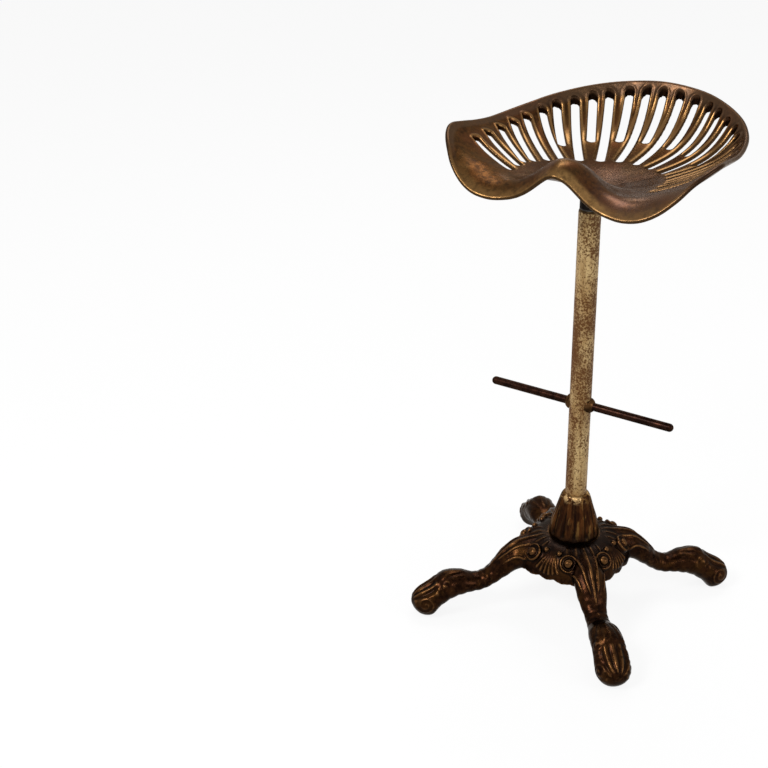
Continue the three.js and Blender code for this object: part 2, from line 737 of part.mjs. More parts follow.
function ball(panelTurn, side) {
  return new THREE.SphereGeometry(BALL_RADIUS, BALL_ROUND, BALL_STEPS)
    .translate(BALL_REACH, 0, HUB_TOP - BALL_DROP)
    .rotateZ(panelTurn + side * BALL_TURN);
}

function baseCasting() {
  const quarters = [0, 1, 2, 3];
  const ornaments = quarters.flatMap((quarter) => [-1, 1].flatMap((side) => {
    const panelTurn = (quarter + 1 / 2) * QUARTER_TURN;
    return [volute(panelTurn, side), ball(panelTurn, side)];
  }));
  const aroundCollar = rod(COLLAR_FOOT_RADIUS + OVERRUN, HUB_TOP, HUB_TOP + COLLAR_HEIGHT);
  const socket = rod(SOCKET_RADIUS, SOCKET_UNDERSIDE, HUB_TOP - HUB_WALL / 2);
  const postHole = rod(POST_RADIUS + SEAT_GAP, SOCKET_BOTTOM, HUB_TOP + OVERRUN);
  const boltHole = rod(BASE_BOLT_RADIUS + SEAT_GAP, SOCKET_UNDERSIDE - OVERRUN, HUB_TOP, SMALL_ROUND);
  const span = 2 * (LEG_REACH + OVERRUN);
  const floor = new THREE.BoxGeometry(span, span, HUB_TOP).translate(0, 0, -HUB_TOP / 2);
  const outside = join(solidOf(hubOutside()), ...quarters.map(leg), ...ornaments);
  const hollow = cut(outside, aroundCollar, hubInside(), floor);
  return geometryOf(cut(join(hollow, socket), postHole, boltHole));
}

// Base bolt, its washer and the plug that it screws into

function baseWasher() {
  const top = SOCKET_UNDERSIDE - SEAT_GAP;
  const inner = BASE_BOLT_RADIUS + SEAT_GAP;
  return sleeve(inner, BASE_WASHER_RADIUS, top - BASE_WASHER_THICKNESS, top);
}

function baseBolt() {
  const headTop = SOCKET_UNDERSIDE - BASE_WASHER_THICKNESS - 2 * SEAT_GAP;
  const headFoot = headTop - BASE_BOLT_HEAD_HEIGHT;
  const head = rod(BASE_BOLT_HEAD_RADIUS, headFoot, headTop, HEX);
  const tip = POST_FOOT + POST_PLUG_LENGTH + BASE_BOLT_STAND_OUT;
  return geometryOf(join(solidOf(head), rod(BASE_BOLT_RADIUS, headFoot, tip, SMALL_ROUND)));
}

function postPlug() {
  const inner = BASE_BOLT_RADIUS + SEAT_GAP;
  return sleeve(inner, POST_BORE - SEAT_GAP, POST_FOOT, POST_FOOT + POST_PLUG_LENGTH);
}

// Assembly: the seat's group turns about the post's axis

const stool = new THREE.Group();
const seat = new THREE.Group();
seat.rotation.z = SEAT_TURN;
stool.add(seat);

function place(group, name, geometry, finish) {
  const mesh = new THREE.Mesh(geometry, finish());
  mesh.name = name;
  group.add(mesh);
}

place(seat, 'seat_pan', seatPan(), seatIron);
place(seat, 'seat_bolt', seatBolt(), blackSteel);
place(seat, 'swivel_spindle', swivelSpindle(), blackSteel);
place(seat, 'retainer_washer', retainerWasher(), plainSteel);
place(seat, 'retainer_bolt', retainerBolt(), plainSteel);
place(stool, 'thrust_washer', thrustWasher(), plainSteel);
place(stool, 'upper_bush', upperBush(), bronze);
place(stool, 'lower_bush', lowerBush(), bronze);
place(stool, 'post', post(), wornPaint);
place(stool, 'foot_bar', footBar(), barSteel);
place(stool, 'bar_bead_left', barBead(-1), braze);
place(stool, 'bar_bead_right', barBead(1), braze);
place(stool, 'collar', collar(), collarIron);
place(stool, 'base_casting', baseCasting(), baseIron);
place(stool, 'post_plug', postPlug(), plainSteel);
place(stool, 'base_washer', baseWasher(), plainSteel);
place(stool, 'base_bolt', baseBolt(), plainSteel);

export default stool;
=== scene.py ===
import math
import bpy
import numpy as np
from mathutils import Matrix, Vector

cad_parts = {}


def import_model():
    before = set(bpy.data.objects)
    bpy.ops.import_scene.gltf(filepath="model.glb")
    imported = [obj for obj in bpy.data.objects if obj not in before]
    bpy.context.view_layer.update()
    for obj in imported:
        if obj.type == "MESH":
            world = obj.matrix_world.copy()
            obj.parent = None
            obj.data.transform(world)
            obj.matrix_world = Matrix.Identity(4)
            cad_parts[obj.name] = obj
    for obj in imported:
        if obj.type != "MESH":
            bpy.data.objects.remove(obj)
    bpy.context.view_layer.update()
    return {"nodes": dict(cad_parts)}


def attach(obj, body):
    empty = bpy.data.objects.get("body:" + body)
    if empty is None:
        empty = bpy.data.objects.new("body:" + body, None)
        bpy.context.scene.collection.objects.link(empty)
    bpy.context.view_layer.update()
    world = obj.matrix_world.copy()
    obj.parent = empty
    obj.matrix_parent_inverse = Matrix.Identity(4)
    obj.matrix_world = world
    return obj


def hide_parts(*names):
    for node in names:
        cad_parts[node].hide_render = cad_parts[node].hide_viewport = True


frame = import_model()

# Lengths below are in millimetres; meshes are written in metres.
MM = 0.001
DEGREE = math.pi / 180
TURN = 2 * math.pi
QUARTER_TURN = math.pi / 2

# Sizes shared with the CAD part
GAP = 0.3  # between pieces that touch
SEAT_TURN = -42 * DEGREE
SEAT_REACH, SEAT_RISE, PAN_THICKNESS, PAN_FLOOR = 252, 96.5, 7, 697.2
# azimuth from the back in degrees, and the rim's reach and rise there as shares of the seat's
RIM = [
    (0, 0.973, 1), (13, 0.992, 0.948), (26, 0.953, 0.893), (40, 0.917, 0.8), (52, 0.875, 0.725),
    (64, 0.831, 0.692), (75, 0.803, 0.692), (86, 0.791, 0.742), (95, 0.809, 0.8),
    (102, 0.835, 0.834), (108, 0.833, 0.786), (115, 0.814, 0.65), (121, 0.791, 0.455),
    (127, 0.752, 0.268), (133, 0.702, 0.148), (139, 0.639, 0.1), (147, 0.563, 0.11),
    (156, 0.51, 0.132), (168, 0.48, 0.155), (180, 0.49, 0.165),
]
# azimuth, and the share of the bowl's climb that comes early and not close to the rim
EARLY = [(0, 0.26), (20, 0.27), (35, 0.36), (43, 0.42), (50, 0.57), (64, 0.77), (79, 0.89),
         (100, 0.83), (112, 0.78), (180, 0.9)]
EARLY_POWER, LATE_POWER = 1.6, 8
# azimuth, and how far the waterfall front falls as a share of the seat's rise
FALL = [(0, 0), (100, 0), (112, 0.1), (121, 0.27), (129, 0.41), (139, 0.48), (180, 0.48)]
FALL_START = 0.6
# inner azimuth, inner reach, outer azimuth and inset from the rim, as shares of the seat's reach
SLOTS = [
    (0, 0.714, 0, 0.008), (6.4, 0.464, 6.6, 0.008), (12.9, 0.714, 12.9, 0.011),
    (19.5, 0.452, 19.9, 0.014), (26.4, 0.682, 26, 0.014), (34.9, 0.442, 32.9, 0.02),
    (42.2, 0.626, 40.3, 0.018), (48.3, 0.435, 46.7, 0.027), (62.9, 0.421, 55.2, 0.039),
    (77.8, 0.424, 63.4, 0.048), (88.1, 0.435, 73.3, 0.058), (98, 0.435, 85.3, 0.071),
    (109.8, 0.454, 96.8, 0.092),
]
SLOT_WIDTH, INNER_CAP, OUTER_CAP = 13, 4.55, 2.73
PAN_LEAN = 0.02
POMMEL_HEIGHT, POMMEL_FRONT_HALF, POMMEL_BACK_HALF = 41, 43, 70
POMMEL_START, POMMEL_RUN, POMMEL_TIP_SHARE = 20, 80, 0.49
BOSS_RADIUS, BOSS_FOOT = 15.5, 685.2
LAND_RADIUS, LAND_FOOT, LAND_TOP = 11.5, 690.2, 704.2
HUB_TOP, HUB_DEPTH, HUB_FLAT, HUB_SKIRT, HUB_CORNER, HUB_WALL = 125, 47, 42, 85, 10, 8
CORNER_POWER, SCALLOPS, SCALLOP_DEPTH, HOLLOW_RUN = 1.5, 5, 3, 25
SOCKET_RADIUS, SOCKET_UNDERSIDE = 28, 82.7
LEG_REACH, LEG_HALF = 262.5, 27.5
# place along the leg, middle height, half width and half height, as shares of the leg's and hub's
LEG = [
    (0.17, 0.784, 0.93, 0.216), (0.343, 0.744, 0.91, 0.192), (0.419, 0.648, 0.873, 0.176),
    (0.457, 0.584, 0.818, 0.164), (0.495, 0.508, 0.709, 0.148), (0.533, 0.444, 0.655, 0.128),
    (0.571, 0.408, 0.655, 0.12), (0.61, 0.396, 0.69, 0.116), (0.648, 0.404, 0.782, 0.128),
    (0.686, 0.412, 0.873, 0.152), (0.724, 0.408, 0.909, 0.168), (0.762, 0.392, 0.927, 0.188),
    (0.8, 0.36, 0.945, 0.208), (0.838, 0.306, 0.982, 0.218), (0.876, 0.226, 1, 0.228),
    (0.914, 0.196, 0.964, 0.208), (0.952, 0.188, 0.836, 0.168), (0.983, 0.19, 0.582, 0.104),
    (1, 0.19, 0.15, 0.03),
]
VOLUTE_RADIUS, VOLUTE_REACH, VOLUTE_DROP = 14.5, 77, 15
VOLUTE_TURN, VOLUTE_TILT = 24.1 * DEGREE, 50 * DEGREE
BALL_RADIUS, BALL_REACH, BALL_DROP, BALL_TURN = 4.6, 66, 6, 10.2 * DEGREE
POST_RADIUS, POST_BORE, POST_FOOT, POST_HEAD = 16.7, 13.3, 92, 665
BAR_RADIUS, BAR_HALF, BAR_HEIGHT, BAR_TURN = 6.35, 155.2, 352, -43.4 * DEGREE
BEAD_THICKNESS, BEAD_SUNK, BEAD_REACH = 5, 5, 11.5
COLLAR_HEIGHT, COLLAR_FOOT_RADIUS, COLLAR_NECK_RADIUS, COLLAR_FLUTES = 72, 40, 18.6, 12
SPINDLE_RADIUS, SPINDLE_FOOT, SWIVEL_SHOULDER, SWIVEL_TOP = 9.5, 564.9, 669.9, 684.9
SWIVEL_HEAD_RADIUS, RETAINER_HOLE_RADIUS, RETAINER_HOLE_TOP = 15.4, 4.3, 587.2
SEAT_BOLT_RADIUS, SEAT_BOLT_HOLE_FOOT = 4.75, 667.9
BOLT_HEAD_RADIUS, BOLT_HEAD_HEIGHT = 9.5, 5
BUSH_LENGTH, BUSH_FLANGE, THRUST_WASHER_FOOT, THRUST_WASHER_THICKNESS = 30, 2.5, 668.1, 1.5
BASE_BOLT_RADIUS = 6


# Curves
def clamp(x):
    return np.clip(x, 0, 1)


def ease(x):
    x = clamp(x)
    return x * x * (3 - 2 * x)


def between(a, b, x):
    return clamp((x - a) / (b - a))


def bump(x, middle, width):
    return np.exp(-((x - middle) / width) ** 2)


def curve_through(rows, place, column=1):
    """Reads a column of rows at a place, on a smooth curve that is level at both ends."""
    rows = np.asarray(rows, float)
    x, v = rows[:, 0], rows[:, column]
    slope = np.zeros(len(x))
    slope[1:-1] = (v[2:] - v[:-2]) / (x[2:] - x[:-2])
    i = np.clip(np.searchsorted(x, place, side="left") - 1, 0, len(x) - 2)
    span = x[i + 1] - x[i]
    t = clamp((place - x[i]) / span)
    lean = slope[i] * t * (1 - t) ** 2 - slope[i + 1] * t * t * (1 - t)
    return v[i] + (v[i + 1] - v[i]) * ease(t) + span * lean


def spline(rows, count):
    """Catmull-Rom through every row, evenly in row number."""
    p = np.asarray(rows, float)
    p = np.vstack([2 * p[0] - p[1], p, 2 * p[-1] - p[-2]])
    s = np.linspace(0, len(rows) - 1, count)
    i = np.minimum(s.astype(int), len(rows) - 2)
    t = (s - i)[:, None]
    a, b, c, d = p[i], p[i + 1], p[i + 2], p[i + 3]
    return 0.5 * (2 * b + (c - a) * t + (2 * a - 5 * b + 4 * c - d) * t ** 2
                  + (3 * b - a - 3 * c + d) * t ** 3)


# Meshes
def linked(name, data):
    obj = bpy.data.objects.new(name, data)
    bpy.context.scene.collection.objects.link(obj)
    return obj


def new_object(name, points, faces):
    mesh = bpy.data.meshes.new(name)
    mesh.from_pydata((np.asarray(points) * MM).tolist(), [], faces)
    mesh.update()
    return linked(name, mesh)


def grid_faces(rows, cols, wrap_rows=False):
    faces = []
    for r in range(rows if wrap_rows else rows - 1):
        n = (r + 1) % rows
        for c in range(cols):
            d = (c + 1) % cols
            faces.append((r * cols + c, r * cols + d, n * cols + d, n * cols + c))
    return faces


def loft(name, rings):
    """A closed body through rings, fanned over both ends."""
    rings = np.asarray(rings, float)
    rows, cols = rings.shape[:2]
    points = np.vstack([rings.reshape(-1, 3), rings[0].mean(0), rings[-1].mean(0)])
    faces = grid_faces(rows, cols)
    low, high = rows * cols, rows * cols + 1
    last = (rows - 1) * cols
    for c in range(cols):
        d = (c + 1) % cols
        faces.append((d, c, low))
        faces.append((last + c, last + d, high))
    return new_object(name, points, faces)


def turns(count):
    """Evenly spaced angles of a full turn."""
    return np.arange(count) / count * TURN


def ring(radius, height, count):
    """Points round Z; the radius and the height are numbers, or have a value for each point."""
    t = turns(count)
    return np.stack([radius * np.cos(t), radius * np.sin(t), np.broadcast_to(height, count)], 1)


AXIS_RADIUS = 1e-3  # instead of none, where a profile meets the axis


def revolve(name, profile, count=96):
    """Revolves [radius, height] points; a profile that starts and ends on the axis is a solid of
    revolution, any other one closes on itself."""
    if profile[0][0] == 0:
        return loft(name, [ring(max(r, AXIS_RADIUS), z, count) for r, z in profile])
    rings = np.array([ring(r, z, count) for r, z in profile])
    return new_object(name, rings.reshape(-1, 3), grid_faces(len(profile), count, True))


def cylinder(name, radius, low, high, count=96):
    return revolve(name, [(0, low), (radius, low), (radius, high), (0, high)], count)


def unit(rows):
    return rows / np.linalg.norm(rows, axis=-1, keepdims=True)


def tube(name, path, radii, count=14):
    """A tapering round strand along a path of points."""
    ahead = unit(np.gradient(path, axis=0))
    side = unit(np.cross(ahead, (0, 0, 1)))
    up = np.cross(side, ahead)
    t = turns(count)
    rings = [p + r * (np.cos(t)[:, None] * s + np.sin(t)[:, None] * u)
             for p, r, s, u in zip(path, radii, side, up)]
    return loft(name, rings)


def settle(obj):
    """Turns the result of the modifiers into the object's own mesh."""
    graph = bpy.context.evaluated_depsgraph_get()
    mesh = bpy.data.meshes.new_from_object(obj.evaluated_get(graph))
    obj.modifiers.clear()
    obj.data = mesh
    mesh.name = obj.name


def boolean(obj, other, how):
    step = obj.modifiers.new("boolean", "BOOLEAN")
    step.operation = how
    step.solver = "MANIFOLD"
    step.object = other
    settle(obj)
    bpy.data.objects.remove(other)
    return obj


def cut(obj, other):
    return boolean(obj, other, "DIFFERENCE")


def joined(obj, others):
    """One mesh of all the shells, left overlapping for the remesh."""
    points, faces = [], []
    for piece in [obj, *others]:
        first = len(points)
        points.extend(list(v.co / MM) for v in piece.data.vertices)
        faces.extend(tuple(first + i for i in p.vertices) for p in piece.data.polygons)
    name = obj.name
    for piece in [obj, *others]:
        bpy.data.objects.remove(piece)
    return new_object(name, points, faces)


def remesh(obj, cell, rounds):
    """Joins overlapping shells into one even mesh and smooths it."""
    step = obj.modifiers.new("remesh", "REMESH")
    step.mode = "VOXEL"
    step.voxel_size = cell * MM
    step = obj.modifiers.new("smooth", "SMOOTH")
    step.factor = 0.5
    step.iterations = rounds
    settle(obj)


def turned(obj, angle, axis="Z"):
    obj.data.transform(Matrix.Rotation(angle, 4, axis))
    return obj


def moved(obj, x, y, z):
    obj.data.transform(Matrix.Translation(Vector((x, y, z)) * MM))
    return obj


def four_times(make):
    """Makes a piece once for each quarter of the base."""
    return [turned(make(), quarter * QUARTER_TURN) for quarter in range(4)]


def rows_of(mesh, what):
    """The place or the normal of every point."""
    values = np.empty(len(mesh.vertices) * 3)
    mesh.vertices.foreach_get(what, values)
    return values.reshape(-1, 3)


def write_layer(mesh, name, values):
    layer = mesh.attributes.new(name, "FLOAT", "POINT")
    layer.data.foreach_set("value", values.astype(np.float32))


SOFTENING = 0.6  # how far one round moves a point towards its neighbours


def relief(obj, rounds, height):
    """Writes how far each point stands out of, or lies in, its smoothed surroundings, from -1 to
    1 at the given height."""
    mesh = obj.data
    place, normal = rows_of(mesh, "co"), rows_of(mesh, "normal")
    count = len(place)
    edges = np.empty(len(mesh.edges) * 2, dtype=np.int64)
    mesh.edges.foreach_get("vertices", edges)
    a, b = edges[0::2], edges[1::2]
    many = np.bincount(a, minlength=count) + np.bincount(b, minlength=count)
    many = np.maximum(many, 1)[:, None]
    soft = place.copy()
    for _ in range(rounds):
        total = np.stack([np.bincount(a, soft[b, k], count) + np.bincount(b, soft[a, k], count)
                          for k in range(3)], 1)
        soft = (1 - SOFTENING) * soft + SOFTENING * total / many
    out = ((place - soft) * normal).sum(1) / (height * MM)
    write_layer(mesh, "relief", np.clip(out, -1, 1))
    return obj


def tag(obj, name, value_at):
    """Writes a value at every point, from its place in millimetres and its normal."""
    mesh = obj.data
    write_layer(mesh, name, value_at(*(rows_of(mesh, "co").T / MM), *rows_of(mesh, "normal").T))
    return obj


def smooth(obj, angle):
    obj.data.shade_smooth()
    obj.data.set_sharp_from_angle(angle=angle * DEGREE)


# Seat pan
def azimuth_of(x, y):
    """Degrees from the back of the seat, the same on both sides."""
    return np.arctan2(np.abs(x), y) / DEGREE


def rim_radius(azimuth):
    return SEAT_REACH * curve_through(RIM, azimuth)


def reach_share(x, y):
    return np.hypot(x, y) / rim_radius(azimuth_of(x, y))


def pan_rise(x, y):
    """How high the plate's top stands above the middle of the bowl."""
    azimuth = azimuth_of(x, y)
    out = np.hypot(x, y) / rim_radius(azimuth)
    fall = SEAT_RISE * curve_through(FALL, azimuth)
    rim = SEAT_RISE * curve_through(RIM, azimuth, 2)
    early = curve_through(EARLY, azimuth)
    climb = early * out ** EARLY_POWER + (1 - early) * out ** LATE_POWER
    bowl = (rim + fall) * climb - fall * between(FALL_START, 1, out) ** 2
    back = between(-SEAT_REACH * POMMEL_TIP_SHARE, POMMEL_START, y)
    half = POMMEL_FRONT_HALF + (POMMEL_BACK_HALF - POMMEL_FRONT_HALF) * back
    crest = ease((POMMEL_START - y) / POMMEL_RUN)
    return bowl + POMMEL_HEIGHT * crest * np.exp(-(x / half) ** 2) + PAN_LEAN * x


def slot_ends(row, side):
    """Where a slot's middle line starts and ends in plan."""
    inner_azimuth, start, outer_azimuth, inset = row
    end = rim_radius(outer_azimuth) - inset * SEAT_REACH
    turn = np.array([inner_azimuth, outer_azimuth]) * DEGREE
    reach = np.array([start * SEAT_REACH, end])
    return np.stack([side * reach * np.sin(turn), reach * np.cos(turn)], 1)


ALL_SLOTS = [slot_ends(row, side) for k, row in enumerate(SLOTS)
             for side in ((1,) if k == 0 else (-1, 1))]


def slope_of(x, y, step=0.4):
    """The plate's slope, taken one step nearer the middle so that the rim has one too."""
    near = 1 - step / np.maximum(step, np.hypot(x, y))
    u, v = x * near, y * near
    sx = (pan_rise(u + step / 2, v) - pan_rise(u - step / 2, v)) / step
    sy = (pan_rise(u, v + step / 2) - pan_rise(u, v - step / 2)) / step
    return sx, sy


HOOD_RISE, HOOD_GAP, HOOD_WIDTH = 1.5, 2.8, 2
HOOD_START_SHARE, HOOD_RUN_SHARE = 0.62, 0.33
EDGE_DROP, EDGE_WIDTH, HOOD_LESS_DROP, HOOD_LESS_WIDTH = 1.5, 2.7, 0.6, 0.9
TINY = 1e-6  # keeps a division from meeting zero on a slot's middle line


def slot_edges(x, y, sx, sy):
    """Height of the edge round each slot, rounded off along it and with a hood round its outer
    end, and the distance to the nearest slot."""
    height, nearest = np.zeros_like(x), np.full_like(x, SEAT_REACH)
    half = SLOT_WIDTH / 2
    for inner, outer in ALL_SLOTS:
        run = outer - inner
        length = np.hypot(*run)
        run = run / length
        along = (x - inner[0]) * run[0] + (y - inner[1]) * run[1]
        aside = (y - inner[1]) * run[0] - (x - inner[0]) * run[1]
        squeeze = np.where(along < length / 2, half / INNER_CAP, half / OUTER_CAP)
        past = (along - np.clip(along, INNER_CAP, length - OUTER_CAP)) * squeeze
        reach = np.maximum(np.hypot(past, aside), TINY)
        pull = np.maximum(np.hypot(past / reach * squeeze, aside / reach), TINY)
        ux = (past * squeeze * run[0] - aside * run[1]) / (reach * pull)
        uy = (past * squeeze * run[1] + aside * run[0]) / (reach * pull)
        gap = (reach - half) / pull * np.sqrt(1 + (sx * ux + sy * uy) ** 2)
        hood = ease((along / length - HOOD_START_SHARE) / HOOD_RUN_SHARE)
        drop, width = EDGE_DROP - HOOD_LESS_DROP * hood, EDGE_WIDTH - HOOD_LESS_WIDTH * hood
        rise = HOOD_RISE * hood * bump(gap, HOOD_GAP, HOOD_WIDTH) - drop * bump(gap, 0, width)
        height = np.where(np.abs(rise) > np.abs(height), rise, height)
        nearest = np.minimum(nearest, gap)
    return height, nearest


EVEN_RIM_SHARE, EVEN_FADE_SHARE = 0.975, 0.02
EVEN_SLOT_GAP, EVEN_BOLT_RADIUS, EVEN_BOLT_FADE, EVEN_MOST = 3, 17, 4, 1.3


def even_plate(pan):
    """Moves the plate's points back to the exact surface, but for those near the rim, the slots
    and the bolt."""
    mesh = pan.data
    place = rows_of(mesh, "co") / MM
    x, y, z = place.T
    sx, sy = slope_of(x, y)
    tilt = np.sqrt(1 + sx ** 2 + sy ** 2)
    raised, gap = slot_edges(x, y, sx, sy)
    inside = ease((EVEN_RIM_SHARE - reach_share(x, y)) / EVEN_FADE_SHARE)
    inside = inside * ease((gap - EVEN_SLOT_GAP) / EVEN_SLOT_GAP)
    inside = inside * ease((np.hypot(x, y) - EVEN_BOLT_RADIUS) / EVEN_BOLT_FADE)
    for level in (raised, np.full_like(x, -PAN_THICKNESS)):
        off = (z - PAN_FLOOR - pan_rise(x, y)) / tilt - level
        push = off * inside * (np.abs(off) < EVEN_MOST) / tilt
        place = place - push[:, None] * np.stack([-sx, -sy, np.ones_like(sx)], 1)
    mesh.vertices.foreach_set("co", (place * MM).ravel())
    mesh.update()


def depth_in_plate(x, y, z, *_):
    """Zero on the plate's top, one on its underside, and between them in the walls of a slot."""
    sx, sy = slope_of(x, y)
    return clamp((PAN_FLOOR + pan_rise(x, y) - z) / np.sqrt(1 + sx ** 2 + sy ** 2) / PAN_THICKNESS)


def front_lip(x, y, *_):
    """Where the front edge is worn bright and carries a painted highlight: along both lobes, and
    most on the pommel's right.
    """
    share, azimuth = reach_share(x, y), azimuth_of(x, y)
    lobes = ease((share - 0.88) / 0.1) * ease((azimuth - 118) / 14)
    flank = ease((share - 0.88) / 0.09) * ease((azimuth - 142) / 12) * ease((x - 2) / 10)
    return clamp(0.5 * lobes + flank)


def back_rim(x, y, *_):
    """One on the rolled rim round the back and the sides."""
    return ease((reach_share(x, y) - 0.955) / 0.02) * (1 - ease((azimuth_of(x, y) - 110) / 14))


# middle x and y, half width and half depth, and strength of each place that sitters polish, which
# also carries a painted sheen, lighter and greyer
POLISH_AND_SHEEN = [(30, 15, 110, 75, 1), (110, -60, 65, 60, 0.9), (190, 45, 50, 80, 0.9)]


def polish_and_sheen_places(x, y, *_):
    return np.max([strength * np.exp(-((x - middle_x) / wide) ** 2 - ((y - middle_y) / deep) ** 2)
                   for middle_x, middle_y, wide, deep, strength in POLISH_AND_SHEEN], axis=0)


def pan_plate():
    """The plate without its slots: top, rounded rim and underside."""
    inner_rings, rim_rings, rim_share, centre_share = 140, 50, 0.9, 0.004
    turn = turns(1000)
    share = np.concatenate([np.linspace(centre_share, rim_share, inner_rings, endpoint=False),
                            np.linspace(rim_share, 1, rim_rings)])
    radius = share[:, None] * rim_radius(azimuth_of(np.sin(turn), np.cos(turn)))[None]
    x, y = -radius * np.sin(turn), radius * np.cos(turn)
    sx, sy = slope_of(x, y)
    normal = unit(np.stack([-sx, -sy, np.ones_like(sx)], 2))
    base = np.stack([x, y, PAN_FLOOR + pan_rise(x, y)], 2)
    fade = 1 - ease((share - 0.985) / 0.015)
    raised = slot_edges(x, y, sx, sy)[0] * fade[:, None]
    top = base + normal * raised[..., None]
    under = base - normal * PAN_THICKNESS
    edge, low = top[-1], under[-1]
    down = (low - edge) / 2
    run = np.roll(edge, -1, 0) - np.roll(edge, 1, 0)
    outward = np.cross(down, run)
    outward *= (np.linalg.norm(down, axis=1) / np.linalg.norm(outward, axis=1))[:, None]
    arc = [edge + down * (1 - math.cos(a)) + outward * math.sin(a)
           for a in np.linspace(0, math.pi, 9)[1:-1]]
    return loft("pan", np.concatenate([under, np.array(arc)[::-1], top[::-1]]))


def pan_boss():
    """The boss under the pan, up to the middle of the plate."""
    count = 64
    rows = [ring(BOSS_RADIUS, BOSS_FOOT, count)]
    for radius in (BOSS_RADIUS, LAND_RADIUS):
        x, y, _ = ring(radius, 0, count).T
        rows.append(ring(radius, PAN_FLOOR + pan_rise(x, y) - PAN_THICKNESS / 2, count))
    return loft("boss", rows)


CUT_BELOW, CUT_ABOVE = 30, 120  # how far a slot's cutter runs past the bowl's floor


def slot_cutter(inner, outer):
    half = SLOT_WIDTH / 2
    a = np.linspace(QUARTER_TURN, 3 * QUARTER_TURN, 17)
    run = outer - inner
    length, angle = np.hypot(*run), math.atan2(run[1], run[0])
    left = np.stack([INNER_CAP + INNER_CAP * np.cos(a), half * np.sin(a)], 1)
    right = np.stack([length - OUTER_CAP - OUTER_CAP * np.cos(a), -half * np.sin(a)], 1)
    spin = np.array([[math.cos(angle), math.sin(angle)], [-math.sin(angle), math.cos(angle)]])
    plan = np.vstack([left, right]) @ spin + inner
    return loft("slot", [np.column_stack([plan, np.full(len(plan), z)])
                         for z in (PAN_FLOOR - CUT_BELOW, PAN_FLOOR + CUT_ABOVE)])


PAN_CELL, BASE_CELL = 1.0, 1.15  # cell sizes of the remeshed castings
OVER_BOWL, OVER_LAND, UNDER_BOSS = 745, 720, 680  # where the cutters at the bolt end


def seat_pan():
    pan = pan_plate()
    boolean(pan, pan_boss(), "UNION")
    # the land that the bolt's head sits on
    boolean(pan, cylinder("land", LAND_RADIUS, LAND_FOOT, LAND_TOP, 64), "UNION")
    cut(pan, cylinder("over", LAND_RADIUS, LAND_TOP, OVER_BOWL, 64))
    cutters = [slot_cutter(inner, outer) for inner, outer in ALL_SLOTS]
    cut(pan, joined(cutters[0], cutters[1:]))
    remesh(pan, PAN_CELL, 7)
    even_plate(pan)
    cut(pan, cylinder("hole", SEAT_BOLT_RADIUS + GAP, UNDER_BOSS, OVER_LAND, 40))
    relief(pan, 40, 0.6)
    tag(pan, "depth", depth_in_plate)
    tag(pan, "lip", front_lip)
    tag(pan, "rim", back_rim)
    tag(pan, "polish_and_sheen", polish_and_sheen_places)
    return turned(pan, SEAT_TURN)


# Base casting
LEG_ROWS = spline(LEG, 300) * np.array([LEG_REACH, HUB_TOP, LEG_HALF, HUB_TOP])
# where each band of carving starts, over what length it rises, where it ends, and its fall
TOE, INSTEP = (219, 9, 258, 4), (170, 18, 214, 8)
CALF, BEADS = (118, 12, 152, 16), (100, 10, 214, 10)
TOE_GROOVES, TOE_CREASE = (-0.64, -0.22, 0.22, 0.64), 220
INSTEP_LINES, SCALE_PITCH, BEAD_PITCH = (0.75, 1.45), 9.5, 14
# place along the leg, height, radius and number of turns of each spiral
SPIRALS = [(214, 56, 10, 1.2), (244, 28, 15, 1.9)]


def band(x, start, rise, end, fall):
    return ease((x - start) / rise) * (1 - ease((x - end) / fall))


def leg_relief(x, s, z, top):
    """Carving on a leg: x along it, s across it and top up it, each of these from -1 to 1."""
    h = np.zeros_like(s)
    upper = ease((top + 0.1) / 0.5)
    toe = band(x, *TOE) * upper
    for place in TOE_GROOVES:
        h += toe * (1.1 * bump(s, place + 0.21, 0.1) - 2.2 * bump(s, place, 0.12))
    h -= 1.3 * bump(x, TOE_CREASE, 3.2) * upper
    # leaf lines that spread towards the toe
    instep = band(x, *INSTEP) * upper
    spread = 0.26 + 0.45 * between(168, 216, x)
    for line in INSTEP_LINES:
        h -= 1.15 * instep * bump(np.abs(s), spread * line, 0.1)
    h += 0.8 * instep * bump(s, 0, 0.14)
    # scale-like ridges and a centre rib
    calf = band(x, *CALF) * upper
    h += 0.42 * calf * np.cos(TURN * (x / SCALE_PITCH + 0.6 * np.abs(s)))
    h += 1.2 * calf * bump(s, 0, 0.2)
    # beads along the under-edge
    lower = 1 - ease((top + 0.35) / 0.3)
    h += band(x, *BEADS) * lower * (np.abs(np.cos(math.pi * x / BEAD_PITCH)) - 0.5)
    sides = ease((np.abs(s) - 0.5) / 0.3)
    for along, height, radius, windings in SPIRALS:
        away = np.hypot(x - along, z - height)
        spin = np.arctan2(z - height, x - along)
        inside = 1 - ease((away - radius) / 4)
        h += sides * inside * 0.5 * np.cos(TURN * windings * away / radius - spin)
        h += sides * 0.6 * bump(away, 0, radius * 0.36)
    return h


def leg():
    t = turns(132)
    along, middle, wide, tall = (LEG_ROWS[:, k][:, None] for k in range(4))
    x, c, s = np.broadcast_arrays(along, np.cos(t)[None], np.sin(t)[None])
    y, z = wide * c, middle + tall * s
    out = unit(np.stack([c / wide, s / tall], 2))
    # the carving dies out where the leg thins, and most of it lies inside the CAD leg
    h = leg_relief(x, c, z, s) * clamp(tall / 8) - 0.3
    z = np.maximum(z + h * out[..., 1], 0)
    return loft("leg", np.stack([x, y + h * out[..., 0], z], 2))


def skirt_reach(turn):
    corner = HUB_CORNER * (1 - np.abs(np.sin(2 * turn)) ** CORNER_POWER)
    return HUB_SKIRT + corner


def dome_height(x, y):
    """The hub's surface over a place in plan."""
    turn, radius = np.arctan2(y, x), np.hypot(x, y)
    share = clamp((radius - HUB_FLAT) / (skirt_reach(turn) - HUB_FLAT))
    return HUB_TOP - HUB_DEPTH * (1 - np.sqrt(1 - share ** 2))


